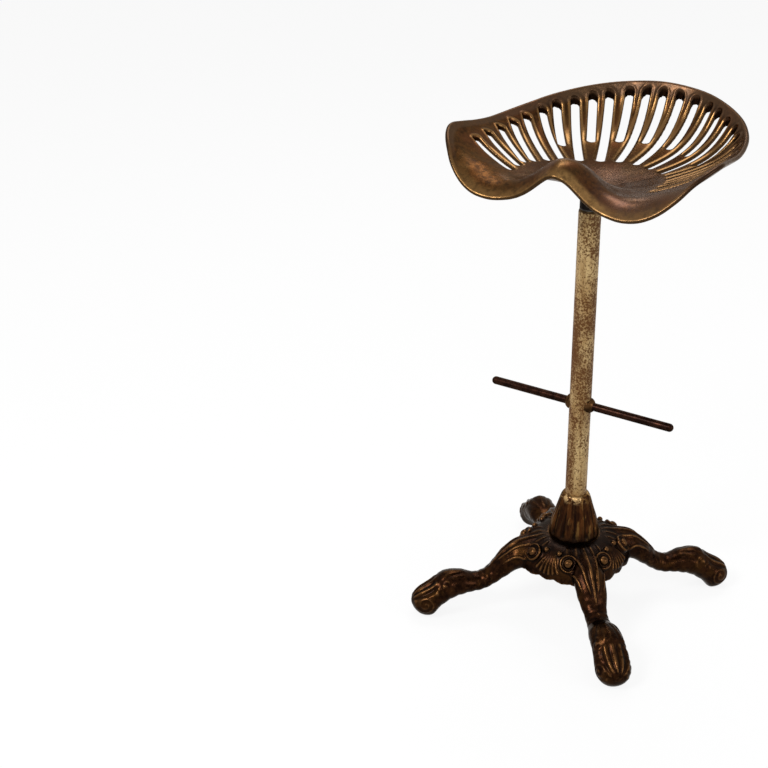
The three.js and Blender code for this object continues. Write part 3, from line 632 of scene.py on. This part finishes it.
def hub_rings(count, wall, steps, carve):
    """Rings of the hub's dome from its skirt to its flat top, scalloped if it is carved."""
    rings, t = [], turns(count)
    for share in np.linspace(1, 0, steps):
        bend = share * QUARTER_TURN
        level = HUB_TOP - wall - (HUB_DEPTH - wall) * (1 - math.cos(bend))
        reach = HUB_FLAT + (skirt_reach(t) - wall - HUB_FLAT) * math.sin(bend)
        if carve:
            panel, wave = np.abs(np.sin(2 * t)), np.abs(np.sin(2 * SCALLOPS * t))
            reach = reach + (1.4 * wave - 1.6) * ease((share - 0.72) / 0.28) * panel
            level = level + SCALLOP_DEPTH * (1 - wave) * panel * ease((share - 0.85) / 0.15)
        rings.append(ring(reach, level, count))
    return rings


def surface(x, y):
    """Height of the leg along +X or of the hub, whichever is higher."""
    middle, wide, tall = (np.interp(x, LEG_ROWS[:, 0], LEG_ROWS[:, k]) for k in (1, 2, 3))
    share = np.minimum(np.abs(y) / wide, 0.98)
    leg_top = middle + tall * np.sqrt(1 - share ** 2)
    hub = np.where(np.hypot(x, y) < skirt_reach(np.arctan2(y, x)), dome_height(x, y), 0)
    return np.maximum(leg_top, hub)


# each leaf rib's points, along the leg and across it, then its first, middle and last radius
STRANDS = [
    ([(44, 0), (62, 0), (84, 0), (106, 0), (126, 0), (140, 0)], 3.4, 3.2, 2.6),
    ([(44, 9), (58, 12.5), (76, 13.5), (96, 11), (114, 8.5), (130, 4)], 3.2, 2.6, 2.0),
    ([(44, 21), (56, 26), (74, 27), (90, 24), (106, 20), (122, 17)], 2.8, 2.6, 1.8),
]


def strands():
    pieces, steps = [], 40
    step = np.arange(steps)
    for points, *radii in STRANDS:
        for side in ((1,) if points[0][1] == 0 else (1, -1)):
            x, y = (spline(points, steps) * (1, side)).T
            radius = np.interp(np.linspace(0, 2, steps), (0, 1, 2), radii)
            radius *= 0.35 + 0.65 * ease(step / 5)
            radius *= 0.25 + 0.75 * ease((steps - 1 - step) / 6)
            path = np.stack([x, y, surface(x, y) - 0.3 * radius], 1)
            pieces += four_times(lambda: tube("strand", path, radius))
    return pieces


# degrees off the middle of a panel at the inner end of each fan rib, and the spread outwards
FAN_RIBS, FAN_SPREAD, FAN_START, FAN_RUN = (-5, -3, -1, 1, 3, 5), 2.9, 67, 17


def fan():
    pieces = []
    for start in FAN_RIBS:
        share = np.linspace(0, 1, 18)
        radius = FAN_START + FAN_RUN * np.sin(share * QUARTER_TURN)
        turn = (45 + start + (FAN_SPREAD - 1) * start * share) * DEGREE
        x, y = radius * np.cos(turn), radius * np.sin(turn)
        path = np.stack([x, y, dome_height(x, y) - 0.4], 1)
        width = (1.1 + 1.9 * share) * (1 - 0.4 * ease((share - 0.85) / 0.15))
        pieces += four_times(lambda: tube("rib", path, width, 10))
    return pieces


# radius and height of a volute's profile, as shares of its radius
VOLUTE = [(0, -0.8), (1, -0.8), (1, 0.02), (0.98, 0.16), (0.91, 0.26), (0.82, 0.24), (0.76, 0.08),
          (0.71, 0.02), (0.67, 0.12), (0.62, 0.14), (0.57, 0.04), (0.53, 0.02), (0.51, 0.2),
          (0.45, 0.38), (0.32, 0.5), (0.15, 0.56), (0, 0.57)]


def ornaments():
    """A pair of volutes and a pair of balls on each panel of the hub."""
    pieces = []
    arc = np.linspace(-QUARTER_TURN, QUARTER_TURN, 14)[1:-1]
    half_round = BALL_RADIUS * np.array([(0, -1), *zip(np.cos(arc), np.sin(arc)), (0, 1)])
    profile = VOLUTE_RADIUS * np.array(VOLUTE)
    for quarter in range(4):
        panel = (quarter + 0.5) * QUARTER_TURN
        for side in (-1, 1):
            volute = revolve("volute", profile, 72)
            turned(volute, VOLUTE_TILT, "Y")
            moved(volute, VOLUTE_REACH, 0, HUB_TOP - VOLUTE_DROP)
            pieces.append(turned(volute, panel + side * VOLUTE_TURN))
            ball = revolve("ball", half_round, 28)
            moved(ball, BALL_REACH, 0, HUB_TOP - BALL_DROP)
            pieces.append(turned(ball, panel + side * BALL_TURN))
    return pieces


# painted shade: how far a face turns downwards
def facing_down(x, y, z, nx, ny, nz):
    return clamp(0.15 - nz)


def near_collar(x, y, z, *_):
    """Painted shade round the foot of the collar."""
    return bump(np.hypot(x, y), 50, 17) * ease((z - 70) / 20)


COLLAR_ROOM, SOCKET_HEAD, OVER_COLLAR = 45, 121, 180
BOLT_HOLE_ENDS, OVER_SOCKET = (60, 110), 140


def base_casting():
    hub = loft("base", hub_rings(480, 0, 46, True))
    whole = joined(hub, four_times(leg) + ornaments() + strands() + fan())
    remesh(whole, BASE_CELL, 2)
    inside = hub_rings(160, HUB_WALL, 16, False)
    mouth = inside[0].copy()
    mouth[:, 2] = HUB_TOP - HUB_DEPTH - HOLLOW_RUN
    cut(whole, loft("inside", [mouth, *inside]))
    # room for the collar, then the socket under it with its holes for the post and the bolt
    cut(whole, cylinder("clear", COLLAR_ROOM, HUB_TOP, OVER_COLLAR))
    boolean(whole, cylinder("socket", SOCKET_RADIUS, SOCKET_UNDERSIDE, SOCKET_HEAD), "UNION")
    cut(whole, cylinder("post_hole", POST_RADIUS + GAP, POST_FOOT - GAP, OVER_SOCKET))
    cut(whole, cylinder("bolt_hole", BASE_BOLT_RADIUS + GAP, *BOLT_HOLE_ENDS, 48))
    tag(whole, "shade_round_collar", near_collar)
    return tag(relief(whole, 15, 0.6), "down", facing_down)


# Collar, post and foot bar
# height, and how far the bell has drawn in from its foot to its neck, as shares
COLLAR = [(0, 0.03), (0.04, 0), (0.15, 0.07), (0.28, 0.14), (0.41, 0.25), (0.53, 0.39),
          (0.66, 0.53), (0.79, 0.66), (0.91, 0.78), (0.97, 0.88), (1, 1)]
BORE_ENDS = 120, 204  # just past the bell's foot and neck


def collar():
    count = 432
    t = turns(count)
    groove = ((1 - np.cos(COLLAR_FLUTES * t)) / 2) ** 3
    rings = []
    for up, inward in spline(COLLAR, 90):
        radius = COLLAR_FOOT_RADIUS + (COLLAR_NECK_RADIUS - COLLAR_FOOT_RADIUS) * inward
        depth = 2.5 * ease(up / 0.12) * ease((0.86 - up) / 0.55)
        fine = 0.3 * np.cos(3 * COLLAR_FLUTES * t) * ease((1 - up) / 0.2) * ease((up - 0.3) / 0.3)
        radius = radius - depth * groove + fine - 0.3
        rings.append(ring(radius, HUB_TOP + GAP + COLLAR_HEIGHT * up, count))
    bell = loft("bell", rings)
    cut(bell, cylinder("bore", POST_RADIUS + GAP, *BORE_ENDS))
    return relief(bell, 40, 0.8)


def across(obj):
    """Lays an upright piece along the foot bar."""
    return moved(turned(turned(obj, QUARTER_TURN, "Y"), BAR_TURN), 0, 0, BAR_HEIGHT)


def post():
    bevel, past_wall = 0.5, 30
    levels = np.linspace(POST_FOOT, POST_HEAD, 240)
    wall = [(POST_RADIUS, z) for z in levels[1:-1]]
    foot, head = (POST_RADIUS - bevel, POST_FOOT), (POST_RADIUS - bevel, POST_HEAD)
    bore = [(POST_BORE, POST_HEAD), (POST_BORE, POST_FOOT)]
    pipe = revolve("pipe", [*bore, foot, *wall, head], 112)
    return cut(pipe, across(cylinder("hole", BAR_RADIUS + GAP, -past_wall, past_wall, 48)))


def round_end(radius, foot, rise):
    """Profile of a domed end."""
    arc = np.linspace(0, QUARTER_TURN, 12)[:-1]
    return [*zip(radius * np.cos(arc), foot + rise * np.sin(arc)), (0, foot + rise)]


def foot_bar():
    dome = round_end(BAR_RADIUS, BAR_HALF - BAR_RADIUS, BAR_RADIUS)
    other = [(r, -z) for r, z in dome][::-1]
    return across(revolve("rod", other + dome, 64))


# thickness and reach of the braze bead's profile, as shares
BEAD_PROFILE = [(1, 0), (0.93, 0.45), (0.5, 0.8), (0, 1)]
AROUND_ENDS = 320, 380  # below and above the beads


def bead(name, side):
    inner, foot, count = BAR_RADIUS + GAP, POST_RADIUS - BEAD_SUNK, 72
    t = turns(count)
    lump = 1 + 0.12 * np.sin(3 * t + side) + 0.1 * np.sin(5 * t + side)
    rows = [ring(inner, side * foot, count)]
    for thick, out in spline(BEAD_PROFILE, 14):
        ripple = 0.25 * np.sin(9 * t + 7 * out) * between(1, 0.8, out) * (thick > 0.05)
        radius = inner + np.maximum(BEAD_THICKNESS * thick * lump, 0) + ripple
        rows.append(ring(radius, side * (foot + BEAD_REACH * out), count))
    faces = grid_faces(len(rows), count, True)
    if side < 0:
        faces = [f[::-1] for f in faces]
    piece = across(new_object(name, np.concatenate(rows), faces))
    return cut(piece, cylinder("around", POST_RADIUS + GAP, *AROUND_ENDS))


# Swivel and seat bolt
def swivel():
    """The spindle and its head, with the seat bolt's hole above and the retainer bolt's below."""
    bevel, hole, head = 0.7, SEAT_BOLT_RADIUS + GAP, SWIVEL_HEAD_RADIUS
    return revolve("swivel", [
        (0, RETAINER_HOLE_TOP), (RETAINER_HOLE_RADIUS, RETAINER_HOLE_TOP),
        (RETAINER_HOLE_RADIUS, SPINDLE_FOOT), (SPINDLE_RADIUS, SPINDLE_FOOT),
        (SPINDLE_RADIUS, SWIVEL_SHOULDER), (head - bevel, SWIVEL_SHOULDER),
        (head, SWIVEL_SHOULDER + bevel), (head, SWIVEL_TOP - bevel), (head - bevel, SWIVEL_TOP),
        (hole, SWIVEL_TOP), (hole, SEAT_BOLT_HOLE_FOOT), (0, SEAT_BOLT_HOLE_FOOT),
    ])


def flange(inner, low, high, bevel):
    """Profile of a flat ring as wide as the swivel's head, from its bottom edge to its bore."""
    outer = SWIVEL_HEAD_RADIUS
    return [(outer - bevel, low), (outer, low + bevel), (outer, high - bevel),
            (outer - bevel, high), (inner, high)]


def upper_bush():
    bore, outer = SPINDLE_RADIUS + GAP, POST_BORE - GAP
    low, seat = POST_HEAD - BUSH_LENGTH, POST_HEAD + GAP
    return revolve("bush", [(bore, low), (outer, low), (outer, seat),
                            *flange(bore, seat, seat + BUSH_FLANGE, 0.4)])


def thrust_washer():
    bore, low = SPINDLE_RADIUS + GAP, THRUST_WASHER_FOOT
    return revolve("washer", [(bore, low), *flange(bore, low, low + THRUST_WASHER_THICKNESS, 0.2)])


def bolt():
    low, seat = SEAT_BOLT_HOLE_FOOT + GAP, LAND_TOP + GAP
    head = round_end(BOLT_HEAD_RADIUS, seat, BOLT_HEAD_HEIGHT)
    shank = [(0, low), (SEAT_BOLT_RADIUS, low), (SEAT_BOLT_RADIUS, seat)]
    return revolve("bolt", shank + head, 64)


# Materials
COAT_ROUGHNESS = 0.22


class Paint:
    """Wires the nodes of one material."""

    def __init__(self, name):
        self.material = bpy.data.materials.new(name)
        self.material.use_nodes = True
        self.tree = self.material.node_tree
        self.tree.nodes.clear()
        self.shader = self.node("ShaderNodeBsdfPrincipled")
        self.surface = self.node("ShaderNodeOutputMaterial").inputs["Surface"]
        self.link(self.shader.outputs["BSDF"], self.surface)
        self.place = self.node("ShaderNodeTexCoord").outputs["Object"]

    def node(self, kind):
        return self.tree.nodes.new(kind)

    def link(self, a, b):
        self.tree.links.new(a, b)

    def put(self, value, socket):
        """Links another node's output, or sets a number or a colour."""
        if hasattr(value, "is_output"):
            self.link(value, socket)
        elif isinstance(value, tuple):
            socket.default_value = (*value, 1) if len(value) == 3 else value
        else:
            socket.default_value = value

    def noise(self, scale, detail=4, rough=0.6, stretch=(1, 1, 1), shift=(0, 0, 0)):
        mapping = self.node("ShaderNodeMapping")
        mapping.inputs["Scale"].default_value = stretch
        mapping.inputs["Location"].default_value = shift
        self.link(self.place, mapping.inputs["Vector"])
        noise = self.node("ShaderNodeTexNoise")
        for key, number in (("Scale", scale), ("Detail", detail), ("Roughness", rough)):
            noise.inputs[key].default_value = number
        self.link(mapping.outputs[0], noise.inputs["Vector"])
        return noise.outputs["Fac"]

    def attribute(self, name):
        node = self.node("ShaderNodeAttribute")
        node.attribute_name = name
        return node.outputs["Fac"]

    def axis(self, which):
        node = self.node("ShaderNodeSeparateXYZ")
        self.link(self.place, node.inputs[0])
        return node.outputs[which]

    def span(self, value, low, high, to_low=0.0, to_high=1.0):
        """Eases from one value to the other between low and high."""
        node = self.node("ShaderNodeMapRange")
        node.interpolation_type = "SMOOTHSTEP"
        self.put(value, node.inputs["Value"])
        for key, number in (("From Min", low), ("From Max", high),
                            ("To Min", to_low), ("To Max", to_high)):
            node.inputs[key].default_value = number
        return node.outputs["Result"]

    def math(self, how, a, b=0.0):
        node = self.node("ShaderNodeMath")
        node.operation = how
        self.put(a, node.inputs[0])
        self.put(b, node.inputs[1])
        return node.outputs[0]

    def times(self, a, b):
        return self.math("MULTIPLY", a, b)

    def mix(self, share, a, b):
        node = self.node("ShaderNodeMix")
        node.data_type = "RGBA"
        self.put(share, node.inputs[0])
        self.put(a, node.inputs[6])
        self.put(b, node.inputs[7])
        return node.outputs[2]

    def cover(self, color, share, weight, paint):
        """Lays a paint over a colour where the share is high, at most as far as the weight."""
        return self.mix(self.times(share, weight), color, paint)

    def bump(self, height, distance, strength):
        node = self.node("ShaderNodeBump")
        node.inputs["Distance"].default_value = distance * MM
        node.inputs["Strength"].default_value = strength
        self.link(height, node.inputs["Height"])
        self.link(node.outputs[0], self.shader.inputs["Normal"])

    def finish(self, color, roughness, metallic, tint=(1, 1, 1), coat=0.0):
        for key, value in (("Base Color", color), ("Roughness", roughness),
                           ("Metallic", metallic), ("Specular Tint", tint),
                           ("Coat Weight", coat), ("Coat Roughness", COAT_ROUGHNESS)):
            self.put(value, self.shader.inputs[key])
        return self.material


def seat_iron():
    dark_brown, brown = (0.02, 0.0072, 0.0016), (0.07, 0.0255, 0.0057)
    olive, red, gold = (0.047, 0.0245, 0.0068), (0.085, 0.026, 0.009), (0.21, 0.115, 0.038)
    polished_sheen, worn_edge_and_glint, worn_lip_and_highlight = (0.074, 0.044, 0.036), (0.25, 0.138, 0.05), (0.3, 0.17, 0.06)
    dull_rim, shadow = (0.072, 0.044, 0.027), (0.012, 0.005, 0.002)
    slot_wall_shade = (0.012, 0.0055, 0.003)
    p = Paint("seat_iron")
    mottle = p.noise(150, 6, 0.68)
    color = p.mix(p.span(mottle, 0.34, 0.66), dark_brown, brown)
    patches = p.span(p.noise(20, 4, 0.6, shift=(3, 1, 0)), 0.42, 0.62)
    color = p.cover(color, patches, 0.5, olive)
    patches = p.span(p.noise(13, 3, 0.6, shift=(0, 5, 2)), 0.5, 0.64)
    color = p.cover(color, patches, 0.45, red)
    specks = p.span(p.noise(620, 3, 0.6), 0.6, 0.72)
    color = p.cover(color, specks, 0.35, gold)
    uneven = p.span(p.noise(34, 4, 0.6), 0.3, 0.56, 0.5, 1.0)
    # polish from sitting, and a painted sheen: lighter and greyer in the bowl and at the right end
    shine = p.times(p.attribute("polish_and_sheen"), uneven)
    color = p.cover(color, shine, 0.95, polished_sheen)
    # raised edges lighter: wear and a painted glint
    high = p.span(p.attribute("relief"), 0.2, 0.95)
    edge = p.math("MAXIMUM", p.attribute("rim"), p.attribute("lip"))
    high = p.times(high, p.math("SUBTRACT", 1.0, edge))
    color = p.cover(color, high, 0.5, worn_edge_and_glint)
    # the front edge lighter: wear and a painted highlight
    lip = p.times(p.attribute("lip"), p.span(mottle, 0.3, 0.6, 0.35, 1.0))
    color = p.cover(color, lip, 0.62, worn_lip_and_highlight)
    color = p.cover(color, p.attribute("rim"), 0.5, dull_rim)
    low = p.span(p.attribute("relief"), -0.1, -0.75)
    color = p.cover(color, low, 0.85, shadow)
    # painted shade: the walls of the slots darker further down
    deep = p.span(p.attribute("depth"), 0.07, 0.4)
    color = p.cover(color, deep, 0.75, slot_wall_shade)
    rough = p.span(mottle, 0.3, 0.7, 0.4, 0.27)
    rough = p.math("SUBTRACT", rough, p.times(p.math("MAXIMUM", shine, high), 0.12))
    grain = p.math("ADD", p.noise(260, 5, 0.6), p.times(p.noise(45, 3), 1.2))
    p.bump(grain, 0.25, 0.55)
    return p.finish(color, rough, 1.0, (0.68, 0.6, 0.54), 0.05)


def base_iron():
    black, brown = (0.006, 0.0021, 0.001), (0.022, 0.0077, 0.0028)
    ochre, gold, shadow = (0.043, 0.0175, 0.004), (0.14, 0.065, 0.022), (0.0045, 0.0024, 0.0017)
    collar_foot_shade, underside = (0.007, 0.006, 0.0055), (0.004, 0.0022, 0.0015)
    p = Paint("base_iron")
    mottle = p.noise(110, 6, 0.65)
    color = p.mix(p.span(mottle, 0.35, 0.65), black, brown)
    rust = p.span(p.noise(36, 5, 0.6, shift=(1, 4, 2)), 0.48, 0.66)
    color = p.cover(color, rust, 0.55, ochre)
    # raised places and noise-chosen spots lighter: wear and painted glints
    uneven = p.times(p.math("SUBTRACT", p.noise(180, 5, 0.7), 0.5), 1.5)
    worn = p.span(p.math("ADD", p.attribute("relief"), uneven), 0.3, 1.05)
    color = p.cover(color, worn, 0.6, gold)
    low = p.span(p.attribute("relief"), -0.08, -0.7)
    color = p.cover(color, low, 0.8, shadow)
    # painted shade round the foot of the collar
    color = p.cover(color, p.attribute("shade_round_collar"), 0.6, collar_foot_shade)
    # painted shade on faces turned downwards
    color = p.cover(color, p.attribute("down"), 0.7, underside)
    rough = p.math("SUBTRACT", p.span(mottle, 0.3, 0.7, 0.4, 0.24), 0.05)
    grain = p.math("ADD", p.noise(300, 5, 0.6), p.times(p.noise(70, 4), 1.6))
    p.bump(grain, 0.4, 0.6)
    return p.finish(color, rough, 1.0, (0.62, 0.6, 0.58), 0.02)


def collar_iron():
    dark_brown, brown, gold = (0.016, 0.005, 0.002), (0.062, 0.021, 0.0055), (0.2, 0.105, 0.03)
    worn_edge_and_glint, shadow, collar_foot_shade = (0.22, 0.115, 0.035), (0.005, 0.0025, 0.0018), (0.006, 0.003, 0.002)
    bare_paint = (0.42, 0.27, 0.12)
    p = Paint("collar_iron")
    streak = p.noise(60, 5, 0.6, stretch=(1.6, 1.6, 0.28))
    color = p.mix(p.span(streak, 0.4, 0.62), dark_brown, brown)
    runs = p.span(p.noise(85, 5, 0.65, stretch=(1.5, 1.5, 0.45), shift=(2, 0, 5)), 0.54, 0.66)
    color = p.cover(color, runs, 0.5, gold)
    # raised flute edges lighter: wear and a painted glint
    high = p.span(p.attribute("relief"), 0.2, 0.9)
    color = p.cover(color, high, 0.35, worn_edge_and_glint)
    low = p.span(p.attribute("relief"), -0.05, -0.6)
    color = p.cover(color, low, 0.85, shadow)
    # painted shade: the foot of the collar darker
    foot = p.span(p.axis("Z"), 0.126, 0.142, 1.0, 0.0)
    color = p.cover(color, foot, 0.85, collar_foot_shade)
    neck = p.span(p.axis("Z"), 0.184, 0.194)
    chips = p.times(neck, p.span(p.noise(90, 4, 0.7), 0.5, 0.57))
    color = p.mix(chips, color, bare_paint)
    p.bump(p.math("ADD", p.noise(260, 4), p.times(streak, 1.5)), 0.45, 0.65)
    return p.finish(color, p.span(streak, 0.35, 0.65, 0.44, 0.28), 1.0, (0.62, 0.56, 0.5), 0.03)


def worn_paint():
    tan, cream, stain = (0.25, 0.14, 0.045), (0.5, 0.36, 0.17), (0.15, 0.075, 0.022)
    thin_rust_and_shade, thick_rust = (0.16, 0.072, 0.021), (0.078, 0.027, 0.0065)
    fine_rust = (0.07, 0.027, 0.009)
    p = Paint("worn_paint")
    tone = p.noise(16, 5, 0.6, stretch=(1, 1, 0.5))
    color = p.mix(p.span(tone, 0.35, 0.65), tan, cream)
    streak = p.span(p.noise(90, 5, 0.6, stretch=(1.6, 1.6, 0.14)), 0.47, 0.66)
    color = p.cover(color, streak, 0.55, stain)
    clumps = p.noise(26, 4, 0.6, stretch=(1, 1, 0.6), shift=(0, 2, 1))
    uneven = p.times(p.math("SUBTRACT", clumps, 0.5), 0.6)
    specks = p.math("ADD", p.noise(320, 4, 0.7), uneven)
    # rust gathers in a band at mid height; down the left side the same wash and extra specks are
    # rust and painted shade
    left, below = p.span(p.axis("X"), -0.006, -0.0145), p.span(p.axis("Z"), 0.62, 0.46)
    band = p.times(p.span(p.axis("Z"), 0.27, 0.4), p.span(p.axis("Z"), 0.58, 0.5))
    side = p.times(p.times(left, below), 1.4)
    where = p.math("MAXIMUM", side, band)
    rust_and_shade_wash = p.times(where, p.span(clumps, 0.3, 0.6))
    color = p.cover(color, rust_and_shade_wash, 0.6, thin_rust_and_shade)
    specks = p.math("ADD", specks, p.times(where, 0.05))
    rust = p.span(specks, 0.515, 0.57)
    color = p.cover(color, rust, 0.9, thick_rust)
    fine = p.span(p.noise(400, 3, 0.7), 0.57, 0.62)
    color = p.cover(color, fine, 0.75, fine_rust)
    p.bump(p.math("SUBTRACT", 1.0, rust), 0.25, 0.8)
    rough = p.math("ADD", 0.4, p.times(rust, 0.3))
    return p.finish(color, rough, 0.15, (0.6, 0.4, 0.25))


def scuffed_metal(name, dark, light, worn):
    p = Paint(name)
    tone = p.noise(75, 5, 0.65)
    color = p.mix(p.span(tone, 0.36, 0.64), dark, light)
    scuffs = p.span(p.noise(240, 4, 0.7), 0.6, 0.7)
    color = p.cover(color, scuffs, 0.55, worn)
    p.bump(p.noise(380, 4), 0.25, 0.6)
    return p.finish(color, p.span(tone, 0.3, 0.7, 0.44, 0.3), 1.0, (0.6, 0.56, 0.52), 0.03)


def steel(name, dark, light, rough_low, rough_high):
    p = Paint(name)
    tone = p.noise(160, 5, 0.65)
    color = p.mix(p.span(tone, 0.35, 0.65), dark, light)
    p.bump(p.noise(500, 3), 0.12, 0.5)
    return p.finish(color, p.span(tone, 0.3, 0.7, rough_low, rough_high), 0.9, (0.6, 0.57, 0.54))


# Assembly: each piece with the CAD node that it replaces, its body and its finish
PIECES = [
    (seat_pan(), "seat_pan", "seat", "seat_iron"),
    (bolt(), "seat_bolt", "seat", "black_steel"),
    (swivel(), "swivel_spindle", "seat", "black_steel"),
    (thrust_washer(), "thrust_washer", "stand", "plain_steel"),
    (upper_bush(), "upper_bush", "stand", "bronze"),
    (post(), "post", "stand", "worn_paint"),
    (foot_bar(), "foot_bar", "stand", "bar_steel"),
    (bead("braze_left", -1), "bar_bead_left", "stand", "braze"),
    (bead("braze_right", 1), "bar_bead_right", "stand", "braze"),
    (collar(), "collar", "stand", "collar_iron"),
    (base_casting(), "base_casting", "stand", "base_iron"),
]
FINISH = {
    "seat_iron": seat_iron(),
    "base_iron": base_iron(),
    "collar_iron": collar_iron(),
    "worn_paint": worn_paint(),
    "bar_steel": scuffed_metal("bar_steel", (0.007, 0.0025, 0.0016), (0.024, 0.009, 0.005),
                               (0.065, 0.038, 0.025)),
    "braze": scuffed_metal("braze", (0.02, 0.009, 0.003), (0.075, 0.034, 0.012),
                           (0.16, 0.085, 0.03)),
    "black_steel": steel("black_steel", (0.004, 0.003, 0.0025), (0.016, 0.012, 0.01), 0.55, 0.4),
    "plain_steel": steel("plain_steel", (0.04, 0.036, 0.033), (0.11, 0.1, 0.09), 0.5, 0.36),
    "bronze": steel("bronze", (0.03, 0.018, 0.009), (0.1, 0.062, 0.026), 0.55, 0.38),
}
# CAD nodes that nothing shows, which keep their shape
HIDDEN = [("retainer_washer", "plain_steel"), ("retainer_bolt", "plain_steel"),
          ("lower_bush", "bronze"), ("post_plug", "plain_steel"), ("base_washer", "plain_steel"),
          ("base_bolt", "plain_steel")]
CASTINGS = ("seat_pan", "base_casting", "collar")
CAST_EDGE, TURNED_EDGE = 50, 38  # degrees from which an edge is shaded sharp
for piece, node, body, slot in PIECES:
    smooth(piece, CAST_EDGE if node in CASTINGS else TURNED_EDGE)
    piece.data.materials.clear()
    piece.data.materials.append(FINISH[slot])
    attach(piece, body)
    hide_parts(node)
for node, slot in HIDDEN:
    for place in frame["nodes"][node].material_slots:
        place.material = FINISH[slot]


# Floor, light and camera; lengths from here on are in metres
FLOOR_HALF, FLOOR_LEVEL = 9, -0.0004
FLOOR_GLOW = 0.88  # how much of the floor's look is plain white
WORLD_LEVEL = 0.5


def seen_rays(tree):
    """One for the rays that carry what the camera sees, and zero for those that light things."""
    rays = tree.nodes.new("ShaderNodeLightPath")
    seen = rays.outputs["Is Camera Ray"]
    for other in ("Is Glossy Ray", "Is Transmission Ray"):
        either = tree.nodes.new("ShaderNodeMath")
        either.operation = "MAXIMUM"
        tree.links.new(seen, either.inputs[0])
        tree.links.new(rays.outputs[other], either.inputs[1])
        seen = either.outputs[0]
    return seen


def studio_floor():
    corners = [(x * FLOOR_HALF / MM, y * FLOOR_HALF / MM, FLOOR_LEVEL / MM)
               for x, y in ((-1, -1), (1, -1), (1, 1), (-1, 1))]
    floor = new_object("floor", corners, [(0, 1, 2, 3)])
    p = Paint("floor")
    p.finish((0.85, 0.85, 0.85), 0.9, 0.0)
    white = p.node("ShaderNodeEmission")
    both = p.node("ShaderNodeMixShader")
    p.link(p.times(seen_rays(p.tree), FLOOR_GLOW), both.inputs[0])
    p.link(p.shader.outputs[0], both.inputs[1])
    p.link(white.outputs[0], both.inputs[2])
    p.link(both.outputs[0], p.surface)
    floor.data.materials.append(p.material)


def world():
    """White where it is seen, and a weaker light from all round."""
    scene = bpy.context.scene
    scene.world = bpy.data.worlds.new("studio")
    scene.world.use_nodes = True
    tree = scene.world.node_tree
    tree.nodes.clear()
    seen = seen_rays(tree)
    strength = tree.nodes.new("ShaderNodeMapRange")
    strength.inputs["To Min"].default_value = WORLD_LEVEL
    strength.inputs["To Max"].default_value = 1.0
    tree.links.new(seen, strength.inputs["Value"])
    back = tree.nodes.new("ShaderNodeBackground")
    back.inputs["Color"].default_value = (1, 1, 1, 1)
    tree.links.new(strength.outputs[0], back.inputs["Strength"])
    out = tree.nodes.new("ShaderNodeOutputWorld")
    tree.links.new(back.outputs[0], out.inputs["Surface"])


# place, height of the point on the axis that it faces, size and power in watts
LAMPS = {
    "key": ((-2.2, -1.2, 2.6), 0.5, (1.0, 1.0), 66),
    "fill": ((2.4, -2.0, 1.6), 0.4, (1.4, 1.4), 22),
    "top": ((0.4, 1.2, 2.9), 0.6, (1.6, 1.0), 27),
    "back": ((0.45, 2.3, 1.9), 0.6, (0.5, 0.2), 2.5),
    "front": ((-0.5, -2.4, 2.5), 0.4, (0.7, 0.25), 9),
}


def lamp(name, place, target_height, size, power):
    data = bpy.data.lights.new(name, "AREA")
    data.shape = "RECTANGLE"
    data.size, data.size_y = size
    data.energy = power
    obj = linked(name, data)
    obj.location = place
    aim = Vector((0, 0, target_height)) - Vector(place)
    obj.rotation_euler = aim.to_track_quat("-Z", "Y").to_euler()


# The camera, fitted to the photograph: place, angles in radians, focal length in pixels
CAMERA_PLACE = (-0.6702, -2.204, 1.496)
CAMERA_YAW, CAMERA_PITCH, CAMERA_ROLL = 0.1644, 0.45201, -0.00682
FOCAL_PIXELS, PHOTO_PIXELS, SENSOR_WIDTH = 1667.24, 768, 36


def camera():
    flat = math.cos(CAMERA_PITCH)
    right = Vector((math.cos(CAMERA_YAW), -math.sin(CAMERA_YAW), 0))
    ahead = Vector((math.sin(CAMERA_YAW) * flat, math.cos(CAMERA_YAW) * flat,
                    -math.sin(CAMERA_PITCH)))
    up = right.cross(ahead)
    across_view = right * math.cos(CAMERA_ROLL) + up * math.sin(CAMERA_ROLL)
    up_view = up * math.cos(CAMERA_ROLL) - right * math.sin(CAMERA_ROLL)
    data = bpy.data.cameras.new("camera")
    data.sensor_width = SENSOR_WIDTH
    data.lens = FOCAL_PIXELS / PHOTO_PIXELS * SENSOR_WIDTH
    obj = linked("camera", data)
    turn = Matrix((across_view, up_view, -ahead)).transposed().to_4x4()
    obj.matrix_world = Matrix.Translation(CAMERA_PLACE) @ turn
    bpy.context.scene.camera = obj


studio_floor()
world()
for name, values in LAMPS.items():
    lamp(name, *values)
camera()
bpy.context.scene.view_settings.view_transform = "Standard"
